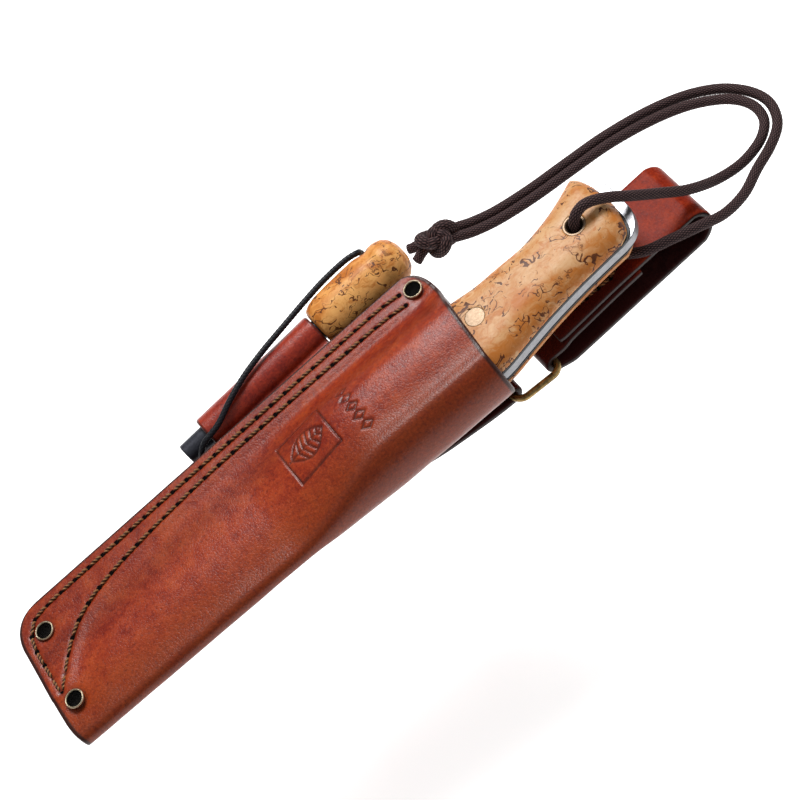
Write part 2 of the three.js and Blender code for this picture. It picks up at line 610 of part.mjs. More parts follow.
add(object, "lanyard_front", rod(FRONT_RUN, CORD_R, 78, 8), "cord");
add(object, "lanyard_back", rod(BACK_RUN, CORD_R, 78, 8), "cord");
const knotBody = new THREE.SphereGeometry(1, 14, 10).scale(...KNOT.size).rotateZ(KNOT.turn);
add(object, "lanyard_knot", closed(knotBody.translate(KNOT.x, KNOT.y, KNOT.z)), "cord");
for (const [name, points] of Object.entries(TAILS)) add(object, name, rod(points, CORD_R, 6, 8), "cord");

export default object;
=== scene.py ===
import math

import bpy
import numpy as np
from mathutils import Matrix, Vector, noise
from mathutils.geometry import tessellate_polygon


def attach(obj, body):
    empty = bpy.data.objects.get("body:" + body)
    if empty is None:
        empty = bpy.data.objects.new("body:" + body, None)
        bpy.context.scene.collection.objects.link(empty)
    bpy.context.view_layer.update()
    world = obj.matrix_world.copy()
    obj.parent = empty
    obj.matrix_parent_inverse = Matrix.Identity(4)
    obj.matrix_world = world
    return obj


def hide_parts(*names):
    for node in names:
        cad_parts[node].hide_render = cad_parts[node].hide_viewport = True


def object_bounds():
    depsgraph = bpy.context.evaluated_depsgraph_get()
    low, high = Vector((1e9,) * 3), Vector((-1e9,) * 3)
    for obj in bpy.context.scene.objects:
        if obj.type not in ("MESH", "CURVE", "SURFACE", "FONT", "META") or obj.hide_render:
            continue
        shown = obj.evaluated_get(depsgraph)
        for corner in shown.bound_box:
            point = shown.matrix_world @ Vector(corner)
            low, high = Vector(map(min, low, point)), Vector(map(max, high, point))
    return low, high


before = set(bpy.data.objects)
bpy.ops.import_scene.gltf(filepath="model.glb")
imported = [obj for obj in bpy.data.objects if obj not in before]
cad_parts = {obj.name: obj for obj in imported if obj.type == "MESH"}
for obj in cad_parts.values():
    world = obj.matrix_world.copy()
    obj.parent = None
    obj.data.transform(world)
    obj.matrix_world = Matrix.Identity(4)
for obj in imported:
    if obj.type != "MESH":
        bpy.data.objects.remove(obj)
cad_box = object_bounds()
MM = 0.001  # shapes below are worked out in millimetres

# ---------- driving dimensions, as in the CAD ----------
TILT = math.radians(6)
SHEATH_PLACE = (15.2, -21.7)
LEATHER = 3.0
FLAT_HALF = 2.3
FACE_Z = FLAT_HALF + LEATHER
TIP_X, MOUTH_X, EDGE_Y = -162.4, 36.6, 41.8
PROUD = 0.55
LIFT = -TIP_X * math.sin(TILT) + FACE_Z * math.cos(TILT) + PROUD
TANG, LINER, SCALE, HANDLE_HALF = 4.0, 0.8, 7.3, 10.5
SCALE_Z = HANDLE_HALF - SCALE
STRAP = 2.8
WIRE_R = 1.35
RING = {"x0": 48.4, "x1": 68.2, "y": -19.8, "half": 16.3, "z": 4.45, "corner": 4.2}
CORD_R = 1.9
SCALE_END = 101.8
LOOP_REACH = 100  # the belt loop hangs 93 below the sheath at its joints' limits


def from_sheath(points):
    """Points of the sheath's own frame, which leans by TILT, in the row frame."""
    p = np.asarray(points, float)
    c, s = math.cos(TILT), math.sin(TILT)
    x = p[..., 0] * c - p[..., 2] * s + SHEATH_PLACE[0]
    y = p[..., 1] + SHEATH_PLACE[1]
    return np.stack([x, y, p[..., 0] * s + p[..., 2] * c + LIFT], -1)


STEEL_X, STEEL_Y, STEEL_TURN = -71.4, 50.1, math.atan(0.045)


def from_steel(points):
    """Points of the fire steel's frame, with its axis along x, in the row frame."""
    p = np.asarray(points, float)
    c, s = math.cos(STEEL_TURN), math.sin(STEEL_TURN)
    x = p[..., 0] * c - p[..., 1] * s + STEEL_X
    y = p[..., 0] * s + p[..., 1] * c + STEEL_Y
    return from_sheath(np.stack([x, y, p[..., 2]], -1))


def square_to_face(x, y):
    """Places a turned body, with its axis first, square to the sheath's face at (x, y)."""
    return lambda p: from_sheath(np.stack([p[:, 1] + x, p[:, 2] + y, p[:, 0]], -1))


def placed(name, data):
    """A new object in the scene."""
    made = bpy.data.objects.new(name, data)
    bpy.context.scene.collection.objects.link(made)
    return made


# ---------- camera ----------
LOOK_DOWN = math.radians(55)  # above the sheath's face
ROLL_COS, ROLL_SIN = 0.748, 0.664  # so that the sheath climbs to the right
AIM, CAMERA_FAR = np.array([0, 0, 8.0]), 855.0
SENSOR, LENS = 36.0, 109.93


def aim_camera():
    """Looks down on the sheath's face from its folded side."""
    away = np.array([0, math.cos(LOOK_DOWN), -math.sin(LOOK_DOWN)])
    up = np.array([0, math.sin(LOOK_DOWN), math.cos(LOOK_DOWN)])
    right = np.array([1.0, 0, 0])
    image_right = ROLL_COS * right - ROLL_SIN * up
    image_up = ROLL_SIN * right + ROLL_COS * up
    eye = from_sheath(AIM - CAMERA_FAR * away)
    turn = lambda d: from_sheath(d) - from_sheath(np.zeros(3))
    data = bpy.data.cameras.new("camera")
    data.sensor_width, data.lens = SENSOR, LENS
    camera = placed("camera", data)
    pose = Matrix.Identity(4)
    for i, column in enumerate([turn(image_right), turn(image_up), -turn(away), eye * MM]):
        for j in range(3):
            pose[j][i] = column[j]
    camera.matrix_world = pose
    bpy.context.scene.camera = camera


aim_camera()


# ---------- mesh helpers ----------
def make_piece(name, points, faces, materials, body, replaces=None, layers=None, face_slots=None,
               smooth=True):
    """A mesh piece from points in millimetres in the row frame. layers are its point attributes."""
    data = bpy.data.meshes.new(name)
    data.from_pydata((np.asarray(points, float) * MM).tolist(), [], faces)
    for material in materials if isinstance(materials, list) else [materials]:
        data.materials.append(material)
    if face_slots is not None:
        data.polygons.foreach_set("material_index", np.asarray(face_slots, np.int32))
    data.polygons.foreach_set("use_smooth", np.full(len(data.polygons), smooth))
    for key, values in (layers or {}).items():
        layer = data.attributes.new(key, "FLOAT", "POINT")
        layer.data.foreach_set("value", np.asarray(values, np.float32))
    data.update()
    piece = placed(name, data)
    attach(piece, body)
    if replaces:
        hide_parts(replaces)
    return piece


def grid_faces(rows, cols, start=0, closed=False, flip=False):
    """Quads over rows x cols points. closed joins the last column to the first."""
    r, c = np.meshgrid(np.arange(rows - 1), np.arange(cols if closed else cols - 1), indexing="ij")
    a = start + r * cols + c
    b = start + r * cols + (c + 1) % cols
    quads = np.stack([a, b, b + cols, a + cols], -1).reshape(-1, 4)
    return (quads[:, ::-1] if flip else quads).tolist()


def lofted(rings):
    """Points and faces of a closed body through rings of equal point counts, with a fan over each end."""
    rings = np.asarray(rings, float)
    n, k = rings.shape[:2]
    points = np.vstack([rings.reshape(-1, 3), rings[0].mean(0), rings[-1].mean(0)])
    faces = grid_faces(n, k, closed=True)
    for centre, base, way in ((n * k, 0, -1), (n * k + 1, (n - 1) * k, 1)):
        faces += [[centre, *(base + i, base + (i + 1) % k)[::way]] for i in range(k)]
    return points, outward(points, faces)


def outward(points, faces):
    """The faces, all turned over if they enclose a negative volume."""
    fans = np.array([(f[0], f[i], f[i + 1]) for f in faces for i in range(1, len(f) - 1)])
    a, b, c = (points[fans[:, k]] for k in range(3))
    return [f[::-1] for f in faces] if (a * np.cross(b, c)).sum() < 0 else faces


def unit(vectors):
    """The rows of vectors, each made 1 long."""
    return vectors / np.linalg.norm(vectors, axis=1)[:, None]


def around(count):
    """So many angles, evenly round a circle."""
    return np.linspace(0, 2 * np.pi, count, endpoint=False)


def travelled(line):
    """How far along a line each of its points lies."""
    return np.concatenate([[0], np.cumsum(np.linalg.norm(np.diff(line, axis=0), axis=1))])


def spline(points, step):
    """Points about step apart on the same curve that the CAD lays through a route."""
    p = np.asarray(points, float)
    p = np.vstack([2 * p[0] - p[1], p, 2 * p[-1] - p[-2]])
    line = []
    for i in range(1, len(p) - 2):
        a, b, c, d = p[i - 1:i + 3]
        m0, m1 = 0.5 * (c - a), 0.5 * (d - b)
        t = np.linspace(0, 1, 24, endpoint=False)[:, None]
        line.append((2 * t**3 - 3 * t**2 + 1) * b + (t**3 - 2 * t**2 + t) * m0
                    + (3 * t**2 - 2 * t**3) * c + (t**3 - t**2) * m1)
    return resampled(np.vstack([*line, p[-2:-1]]), step)


def resampled(line, step):
    """The same line with its points evenly spaced, about step apart."""
    far = travelled(line)
    at = np.linspace(0, far[-1], max(3, int(round(far[-1] / step)) + 1))
    return np.stack([np.interp(at, far, line[:, k]) for k in range(line.shape[1])], 1)


def length_of(line):
    return float(np.linalg.norm(np.diff(line, axis=0), axis=1).sum())


def frames_along(line):
    """Two directions square to a line at each of its points, carried along without twist."""
    tangent = unit(np.gradient(line, axis=0))
    side = np.cross(tangent[0], [0, 0, 1.0])
    if np.linalg.norm(side) < 0.1:
        side = np.cross(tangent[0], [0, 1.0, 0])
    sides = []
    for t in tangent:
        side = side - np.dot(side, t) * t
        side /= np.linalg.norm(side)
        sides.append(side)
    sides = np.array(sides)
    return tangent, sides, np.cross(tangent, sides)


def tube(line, radius, sides):
    """A tube round a line. radius is a number, or gives it at arc length s and angle a."""
    _, u, v = frames_along(line)
    a = around(sides)
    if callable(radius):
        r = radius(travelled(line)[:, None], a[None, :])
    else:
        r = np.full((len(line), sides), radius)
    return lofted(line[:, None, :] + (r * np.cos(a))[..., None] * u[:, None, :]
                  + (r * np.sin(a))[..., None] * v[:, None, :])


def lathe(profile, segments, place, closed=False):
    """A turned body: profile points are (radius, distance along the axis), and place maps (along, y, z)."""
    profile, a = np.asarray(profile, float), around(segments)
    rings = np.stack([np.repeat(profile[:, 1:2], segments, 1), profile[:, 0:1] * np.cos(a),
                      profile[:, 0:1] * np.sin(a)], -1)
    if not closed:
        points, faces = lofted(rings)
        return place(points), faces
    points, last = rings.reshape(-1, 3), (len(profile) - 1) * segments
    faces = grid_faces(len(profile), segments, closed=True)
    faces += [[last + i, last + (i + 1) % segments, (i + 1) % segments, i] for i in range(segments)]
    return place(points), outward(points, faces)


def joined(parts):
    """Several bodies as one: their points, faces and, where they have it, relief heights."""
    points, faces, extra, start = [], [], [], 0
    for part in parts:
        points.append(part[0])
        faces += [[i + start for i in f] for f in part[1]]
        if len(part) > 2:
            extra.append(part[2])
        start += len(part[0])
    return np.vstack(points), faces, np.concatenate(extra) if extra else None


def rounded(profile, radius, steps=4):
    """A profile with each inner corner rounded by a short curve."""
    p = np.asarray(profile, float)
    out = [p[0]]
    for i in range(1, len(p) - 1):
        before, after = p[i - 1] - p[i], p[i + 1] - p[i]
        reach = min(radius, 0.45 * np.linalg.norm(before), 0.45 * np.linalg.norm(after))
        a = p[i] + before / np.linalg.norm(before) * reach
        b = p[i] + after / np.linalg.norm(after) * reach
        for t in np.linspace(0, 1, steps + 1):
            out.append((1 - t) ** 2 * a + 2 * t * (1 - t) * p[i] + t * t * b)
    return np.array(out + [p[-1]])


def smoothstep(x, low, high):
    """0 at low and 1 at high, with an easy start and end."""
    t = np.clip((np.asarray(x, float) - low) / (high - low), 0, 1)
    return t * t * (3 - 2 * t)


def bell(x, width):
    """1 at x = 0, fading away over width to both sides."""
    return np.exp(-(x / width) ** 2)


def along(points):
    """Smooth height of a curve given by (x, value) points, as in the CAD."""
    px, py = np.array(points, float).T
    slope = np.empty(len(px))
    slope[1:-1] = (py[2:] - py[:-2]) / (px[2:] - px[:-2])
    slope[0], slope[-1] = (py[1] - py[0]) / (px[1] - px[0]), (py[-1] - py[-2]) / (px[-1] - px[-2])

    def at(x):
        x = np.clip(np.asarray(x, float), px[0], px[-1])
        i = np.clip(np.searchsorted(px, x, side="right") - 1, 0, len(px) - 2)
        w = px[i + 1] - px[i]
        t = (x - px[i]) / w
        return ((2 * t - 3) * t * t + 1) * py[i] + t * t * (3 - 2 * t) * py[i + 1] + w * (
            t * (t - 1) ** 2 * slope[i] + t * t * (t - 1) * slope[i + 1])

    return at


def lumps(points, scale, seed=0.0):
    """Smooth noise from -1 to 1 at points in millimetres, with lumps about scale across."""
    return np.array([noise.noise(Vector((p[0] / scale + seed, p[1] / scale, p[2] / scale))) for p in points])


# ---------- material helpers ----------
class Look:
    """A node material. add() makes a node: a value that is a socket is linked, any other is set."""

    def __init__(self, name, **surface):
        self.material = bpy.data.materials.new(name)
        self.material.use_nodes = True
        self.tree = self.material.node_tree
        self.shader = self.tree.nodes["Principled BSDF"]
        self.set(**surface)
        where = self.add("TexCoord")
        self.mm = self.add("VectorMath", {0: where.outputs["Object"], 1: (1000, 1000, 1000)},
                           operation="MULTIPLY").outputs[0]

    def add(self, kind, values=None, **props):
        made = self.tree.nodes.new("ShaderNode" + kind)
        for key, value in props.items():
            setattr(made, key, value)
        for key, value in (values or {}).items():
            self.give(made.inputs[key], value)
        return made

    def give(self, socket, value):
        if isinstance(value, bpy.types.NodeSocket):
            self.tree.links.new(value, socket)
        else:
            socket.default_value = value

    def set(self, **surface):
        for key, value in surface.items():
            self.give(self.shader.inputs[key.replace("_", " ")], value)

    def noise(self, scale, detail=2.0, rough=0.5, at=None, distort=0.0):
        """Noise whose lumps are about 1/scale millimetres across."""
        made = self.add("TexNoise", {"Vector": at or self.mm, "Scale": scale, "Detail": detail,
                                     "Roughness": rough, "Distortion": distort})
        return made.outputs["Fac"]

    def moved(self, by=(0, 0, 0), scale=(1, 1, 1), at=None):
        return self.add("Mapping", {"Vector": at or self.mm, "Location": by, "Scale": scale}).outputs[0]

    def math(self, operation, a, b=0.0, clamp=False):
        return self.add("Math", {0: a, 1: b}, operation=operation, use_clamp=clamp).outputs[0]

    def step(self, value, low, high, out_low=0.0, out_high=1.0):
        """value mapped smoothly from low..high."""
        return self.add("MapRange", {"Value": value, "From Min": low, "From Max": high, "To Min": out_low,
                                     "To Max": out_high}, interpolation_type="SMOOTHSTEP").outputs[0]

    def ramp(self, value, *stops):
        made = self.add("ValToRGB", {"Fac": value})
        band = made.color_ramp
        while len(band.elements) < len(stops):
            band.elements.new(0.5)
        for element, (place, colour) in zip(band.elements, stops):
            element.position, element.color = place, (*colour, 1)
        return made.outputs["Color"]

    def mix(self, share, a, b):
        made = self.add("Mix", data_type="RGBA")
        self.give(made.inputs["Factor"], share)
        for socket, value in zip([s for s in made.inputs if s.type == "RGBA"], (a, b)):
            self.give(socket, value if isinstance(value, bpy.types.NodeSocket) else (*value, 1))
        return [s for s in made.outputs if s.type == "RGBA"][0]

    def layer(self, name):
        return self.add("Attribute", attribute_name=name).outputs["Fac"]

    def bump(self, height, distance_mm, strength=1.0, normal=None):
        values = {"Height": height, "Distance": distance_mm * MM, "Strength": strength}
        if normal is not None:
            values["Normal"] = normal
        return self.add("Bump", values).outputs["Normal"]


# the second colour is painted shadow: the near-black maroon of the shadows that fall on the straps
# the third colour darkens burnished edges and stitching, and also paints shade at the sheath's fold and valley
FOLD_COLOUR, PAINTED_SHADOW_COLOUR, WORN_AND_SHADE_COLOUR = (0.260, 0.034, 0.001), (0.040, 0.0055, 0.0045), (0.014, 0.005, 0.004)


def leather_look(name, deep, middle, light, roughness=0.35, shine=0.27):
    """Oiled full-grain leather: mottled colour, fine grain, warmer at folds. The dark layer darkens burnished
    edges and stitching and also paints shade at the sheath's fold and valley; another layer paints cast shadow on
    the straps.
    """
    look = Look(name)
    broad = look.noise(0.035, 3, 0.55, distort=0.4)
    mottle = look.noise(0.20, 5, 0.6)
    fine = look.noise(0.95, 4, 0.7)
    pull = look.math("ADD", look.math("MULTIPLY", broad, 0.45), look.math("MULTIPLY", mottle, 0.55))
    base = look.ramp(pull, (0.39, deep), (0.50, middle), (0.61, light))
    warmth = look.math("MULTIPLY", look.layer("warm"), look.step(mottle, 0.30, 0.60, 0.65, 1.0))
    base = look.mix(warmth, base, FOLD_COLOUR)
    base = look.mix(look.step(fine, 0.50, 0.68, 0.0, 0.45), base, tuple(1.30 * v + 0.002 for v in light))
    base = look.mix(look.step(fine, 0.50, 0.32, 0.0, 0.55), base, tuple(0.50 * v for v in deep))
    # painted shadow: near-black maroon where the straps lie in cast shadow
    base = look.mix(look.layer("painted_shadow"), base, PAINTED_SHADOW_COLOUR)
    # dark layer: burnished rims and stitching, together with painted shade at the sheath's fold and in the valley
    # beside the inner stitch row
    worn_and_shade = look.math("MULTIPLY", look.layer("dark"), 0.96, clamp=True)
    base = look.mix(worn_and_shade, base, WORN_AND_SHADE_COLOUR)
    rough = look.math("ADD", look.math("MULTIPLY", mottle, 0.20), roughness - 0.10)
    pores = look.add("TexVoronoi", {"Vector": look.mm, "Scale": 0.85, "Randomness": 1.0},
                     feature="DISTANCE_TO_EDGE").outputs["Distance"]
    normal = look.bump(look.step(pores, 0.0, 0.22), 0.05, 0.50)
    normal = look.bump(fine, 0.12, 0.55, normal)
    normal = look.bump(mottle, 0.35, 0.40, normal)
    look.set(Base_Color=base, Roughness=rough, Normal=normal, Coat_Weight=0.25 * shine, Coat_Roughness=0.27,
             Specular_IOR_Level=shine)
    return look.material


# for each set of curled lines: scale, shift, width, the scale of where they lie, and the least value there
BURL_LINES = [(0.055, 0, 0.019, 0.085, 0.535), (0.075, 40, 0.026, 0.115, 0.545), (0.120, 90, 0.042, 0.190, 0.585)]


def wood_look(name, base, amber, pale, fleck, along_x=0.7, size=1.0):
    """Curly birch: a pale ground with amber flames, and short curled brown lines and eyes."""
    look = Look(name)
    bent = look.add("TexNoise", {"Vector": look.mm, "Scale": 0.16, "Detail": 2.0})
    warp = look.add("VectorMath", {0: bent.outputs["Color"], 1: (9, 9, 9), 2: look.mm},
                    operation="MULTIPLY_ADD").outputs[0]
    at = look.moved(scale=(along_x, 1, 1), at=warp)
    ground = look.noise(0.085, 4, 0.6, at=at)
    drawn = look.moved(by=(31, 7, 3), scale=(0.6, 1, 1), at=warp)
    flame = look.noise(0.22, 4, 0.65, at=drawn, distort=0.8)
    small = look.noise(0.75, 3, 0.6, at=warp, distort=0.6)
    colour = look.ramp(ground, (0.36, amber), (0.47, base), (0.60, pale))
    rim = look.math("MULTIPLY", look.layer("rim"), look.step(flame, 0.34, 0.56), clamp=True)
    colour = look.mix(look.math("MULTIPLY", rim, 0.85), colour, amber)
    colour = look.mix(look.step(flame, 0.50, 0.64, 0.0, 0.75), colour, amber)
    colour = look.mix(look.step(small, 0.50, 0.70, 0.0, 0.30), colour, tuple(0.62 * v for v in amber))
    marks = None
    for scale, shift, width, where, low in BURL_LINES:
        moved = look.moved(by=(shift, shift, shift), at=at)
        field = look.noise(scale * size, 1.0, 0.5, at=moved, distort=2.2)
        uneven = look.noise(0.35, 1, at=look.moved(by=(shift, 2, 1)))
        thick = look.step(uneven, 0.32, 0.62, width * 0.35, width)
        off = look.math("ABSOLUTE", look.math("SUBTRACT", field, 0.5))
        line = look.math("SUBTRACT", 1.0, look.math("DIVIDE", off, thick), clamp=True)
        part = look.noise(where * size, 1.5, at=look.moved(by=(shift + 9, 3, 5), at=at))
        mark = look.math("MULTIPLY", look.step(line, 0.0, 0.35), look.step(part, low, low + 0.012))
        marks = mark if marks is None else look.math("MAXIMUM", marks, mark)
    spots = look.add("TexVoronoi", {"Vector": at, "Scale": 0.080 * size, "Randomness": 1.0})
    spots = spots.outputs["Distance"]
    ragged = look.math("ADD", spots, look.math("MULTIPLY", look.math("SUBTRACT", small, 0.5), 0.40))
    eye = look.step(ragged, 0.070, 0.095, 1, 0)
    outer, inner = look.step(ragged, 0.185, 0.200, 1, 0), look.step(ragged, 0.155, 0.170)
    ring = look.math("MULTIPLY", inner, outer)
    colour = look.mix(look.step(ragged, 0.08, 0.36, 0.60, 0.0), colour, amber)
    marks = look.math("MAXIMUM", marks, look.math("MAXIMUM", eye, look.math("MULTIPLY", ring, 0.80)))
    colour = look.mix(look.math("MULTIPLY", marks, 0.95, clamp=True), colour, fleck)
    grain = look.noise(1.0, 4, 0.7, at=look.moved(scale=(0.25, 1.6, 1.6)))
    colour = look.mix(look.step(grain, 0.40, 0.75, 0.0, 0.25), colour, amber)
    normal = look.bump(grain, 0.04, 0.35)
    normal = look.bump(marks, -0.06, 0.5, normal)
    look.set(Base_Color=colour, Roughness=look.step(grain, 0.3, 0.7, 0.38, 0.52), Normal=normal, Coat_Weight=0.06,
             Coat_Roughness=0.28, Specular_IOR_Level=0.22)
    return look.material


def metal_look(name, bright, dull, roughness, wear=0.5, streak=(1.2, 1.2, 1.2), scale=0.6):
    """Metal with a patina that is thinner in places, and fine finishing lines along one direction."""
    look = Look(name)
    patina = look.noise(scale, 5, 0.65)
    colour = look.ramp(patina, (wear - 0.14, dull), (wear + 0.12, bright))
    lines = look.noise(1.0, 3, 0.7, at=look.moved(scale=streak))
    rough = look.step(lines, 0.3, 0.7, roughness - 0.07, roughness + 0.09)
    normal = look.bump(lines, 0.012, 0.6)
    look.set(Base_Color=colour, Metallic=1.0, Roughness=rough, Normal=normal)
    return look.material


def cord_look(name, deep, light, fuzz=0.35, roughness=0.75):
    """Braided or twisted yarn, with painted shade between the strands, where the height layer is low."""
    look = Look(name)
    height = look.layer("height")
    flecks = look.noise(3.0, 3, 0.7)
    shade = look.math("ADD", look.math("MULTIPLY", height, 0.75), look.math("MULTIPLY", flecks, 0.35))
    # painted shade: the colour darkens down between the strands
    colour = look.ramp(shade, (0.20, tuple(0.3 * v for v in deep)), (0.55, deep), (0.92, light))
    normal = look.bump(look.noise(4.5, 2, 0.6), 0.05, 0.5)
    look.set(Base_Color=colour, Roughness=roughness, Normal=normal, Sheen_Weight=fuzz, Sheen_Roughness=0.5,
             Specular_IOR_Level=0.2)
    return look.material


LEATHER_LOOK = leather_look("sheath_leather", (0.200, 0.014, 0.004), (0.285, 0.029, 0.006),
                            (0.360, 0.048, 0.007))
SLEEVE_LOOK = leather_look("sleeve_leather", (0.175, 0.013, 0.008), (0.255, 0.021, 0.009),
                           (0.320, 0.031, 0.010))
STRAP_LOOK = leather_look("strap_leather", (0.175, 0.013, 0.005), (0.232, 0.020, 0.006), (0.285, 0.030, 0.008),
                          shine=0.05)
# painted shade: the straps' inside faces are coloured near-black maroon for the shade inside the loop and under
# the sheath
INSIDE_SHADE_LOOK = leather_look("strap_inside_shade", (0.022, 0.004, 0.004), (0.034, 0.006, 0.006), (0.050, 0.010, 0.008),
                           0.55, shine=0.12)
EDGE_LOOK = leather_look("burnished_edge", (0.016, 0.006, 0.005), (0.026, 0.009, 0.006), (0.060, 0.020, 0.012),
                         0.5)
BURL = wood_look("birch_burl", (0.555, 0.280, 0.108), (0.46, 0.145, 0.021), (0.62, 0.37, 0.185),
                 (0.055, 0.012, 0.005))
BURL_ROOT = wood_look("birch_root", (0.68, 0.29, 0.070), (0.46, 0.135, 0.014), (0.76, 0.39, 0.12),
                      (0.080, 0.022, 0.006), along_x=0.5, size=1.2)
EYELET = metal_look("antique_brass", (0.62, 0.52, 0.37), (0.26, 0.19, 0.11), 0.38, wear=0.42)
RING_METAL = metal_look("ring_brass", (0.40, 0.27, 0.11), (0.10, 0.062, 0.022), 0.40, wear=0.50, scale=0.35)
BRASS = metal_look("bright_brass", (0.38, 0.275, 0.190), (0.31, 0.220, 0.150), 0.58, wear=0.40,
                   streak=(0.6, 5, 5))
STEEL = metal_look("tool_steel", (0.300, 0.302, 0.316), (0.235, 0.236, 0.248), 0.38, wear=0.45,
                   streak=(0.15, 6, 6))
# painted shade: the eyelets' bores are coloured near-black for the shade down inside them
EYELET_BORE_SHADE = metal_look("eyelet_bore_shade", (0.012, 0.009, 0.006), (0.005, 0.004, 0.003), 0.7)
CORD_LOOK = cord_look("paracord", (0.012, 0.0045, 0.0058), (0.135, 0.076, 0.073), 0.02)
ELASTIC_LOOK = cord_look("elastic_cord", (0.004, 0.004, 0.006), (0.020, 0.022, 0.030), 0.03, 0.45)
THREAD_LOOK = cord_look("waxed_thread", (0.090, 0.032, 0.012), (0.33, 0.150, 0.055), 0.03, 0.5)


def plain_look(name, colour, roughness, metallic=0.0, bump=0.05, scale=2.0, shine=0.5):
    """One colour, a little lighter and darker in a fine grain."""
    look = Look(name)
    grain = look.noise(scale, 4, 0.65)
    tint = look.mix(look.step(grain, 0.3, 0.75), tuple(0.7 * v for v in colour), tuple(1.25 * v for v in colour))
    look.set(Base_Color=tint, Roughness=look.step(grain, 0.3, 0.7, roughness - 0.06, roughness + 0.08),
             Metallic=metallic, Normal=look.bump(grain, bump, 0.5), Specular_IOR_Level=shine)
    return look.material


LINER_LOOK = plain_look("liner_fibre", (0.012, 0.011, 0.012), 0.5)
# painted shade: near-black for the discs that stand for the shade in the stitch holes
HOLE_SHADE_LOOK = plain_look("stitch_hole_shade", (0.003, 0.002, 0.002), 0.9, shine=0.05)
FERRO_LOOK = plain_look("ferrocerium", (0.028, 0.030, 0.042), 0.42, metallic=0.4, bump=0.03, scale=1.2)

# ---------- the lanyard: routes as in the CAD ----------
FRONT_RUN = [
    (100.85, -16.9, 32), (100.45, -16.9, 36), (100, -16.9, 40.4), (100.5, -16.8, 44), (103, -16.6, 46.9),
    (107.4, -16.7, 47.7), (114.2, -18, 45), (124, -19.4, 37.2), (133.6, -19.6, 28.6), (143.6, -19.8, 20.2),
    (156.4, -16, 8.8), (168.8, -12.9, 2.4), (178, -10.9, 2.1), (184.2, -7.6, 2.1), (188.2, -2.8, 2.1),
    (189.3, 4, 2.1), (187, 10.8, 2.1), (181.4, 17.2, 2.1), (171.5, 23.6, 2.1), (158, 28.4, 2.1),
    (141, 31.7, 2.1), (124, 32.8, 2.1), (107, 33.6, 2.1), (92, 35.3, 2.2), (82, 37.2, 3), (75.5, 38.9, 4.4),
]
BACK_RUN = [
    (101, -16.9, 31.2), (101.45, -16.9, 27), (101.9, -16.9, 23.2), (103.2, -17.6, 20.4), (106.4, -20, 19),
    (111, -24.2, 18.9), (117.2, -28.4, 18.8), (127, -30.4, 17.6), (138, -31.2, 14.4), (149.6, -29.4, 8),
    (161.6, -24.4, 2.8), (172, -18.9, 2.1), (181.8, -14.6, 2.1), (189.6, -9.2, 2.1), (193.6, -2, 2.1),
    (194.1, 5.2, 2.1), (191.2, 13, 2.1), (185, 20.8, 2.1), (174.4, 27.8, 2.1), (160, 32.8, 2.1),
    (142, 36, 2.1), (124.4, 37.1, 2.1), (107.4, 37.9, 2.1), (92.6, 39.6, 2.2), (83, 41.6, 3), (76.6, 43.3, 4.4),
]
TUBE_AT, TUBE_MOUTH = (86.2, 4.8), 10.6  # the lanyard tube's axis, and its mouths' distance from the middle
CORD_STEP = 0.36
KNOT = {"at": (68.1, 42.8, 6.3), "size": (7.4, 6.0, 5.6), "turn": -0.38}
TAILS = {
    "tail_outer": [(60.8, 48.6, 3.6), (59.4, 49.7, 2.6), (57.5, 51, 2.1)],
    "tail_inner": [(59.9, 44.4, 3.4), (58.3, 44.1, 2.6), (56.4, 43.7, 2.1)],
}
INTO_KNOT = {"lanyard_front": (71.2, 40.6, 5.6), "lanyard_back": (71.6, 43.6, 6.0)}
OUT_OF_KNOT = (65.4, 44.8, 5.4)
PLUMP = 0.15  # how far the braid stands out beyond the cord's nominal radius


def braid_height(s, a, carriers, pitch):
    """Height of a plain braid's surface, 0 between the strands to 1 on top of one."""
    across = carriers * a / (2 * np.pi)
    p, q = across + s / pitch, across - s / pitch
    fp, fq = p - np.floor(p), q - np.floor(q)
    odd = (np.floor(p) + np.floor(q)) % 2 > 0.5
    top = lambda lane, way: np.sin(np.pi * lane) ** 0.8 * np.sin(np.pi * way) ** 0.4
    return np.where(odd, top(fp, fq), top(fq, fp))


def braid_parts(line, radius, sides=60, carriers=13, pitch=1.9, depth=0.30, step=CORD_STEP, blunt=0.5):
    """Points, faces and relief height of a braided cord along a line, with its ends melted blunt."""
    line = resampled(line, step)
    total = length_of(line)

    def surface(s, a):
        end = np.minimum(s, total - s)
        taper = np.sqrt(np.clip(1 - (1 - np.clip(end / blunt, 0, 1)) ** 2, 0.02, 1))
        return (radius - depth + depth * braid_height(s, a, carriers, pitch)) * taper

    points, faces = tube(line, surface, sides)
    height = braid_height(travelled(line)[:, None], around(sides)[None, :], carriers, pitch)
    return points, faces, np.concatenate([height.ravel(), [0.3, 0.3]])


def braided(name, line, radius, body, slot, look, replaces=None, core=None, **weave):
    """A braided cord along a line, as one piece with its core if it has one."""
    parts = [braid_parts(line, radius, **weave)]
    points, faces, height = joined(parts + [core] if core else parts)
    return make_piece(name, points, faces, look, body, replaces, {"height": height})


def lanyard_cord(name, route):
    """One length of the lanyard: its piece and the line it follows."""
    line = spline(route, CORD_STEP)
    return braided(name + "_cord", line, CORD_R + PLUMP, "knife", "paracord", CORD_LOOK, name), line


def lay_lanyard():
    """Both runs, the knot and its tails. The knot and the tails go with the front run."""
    for name, route, side in (("lanyard_front", FRONT_RUN, 1), ("lanyard_back", BACK_RUN, -1)):
        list(lanyard_cord(name, [*route, INTO_KNOT[name]]))
    pieces = [knot_piece()] + [lanyard_cord(name, [OUT_OF_KNOT, *route])[0] for name, route in TAILS.items()]


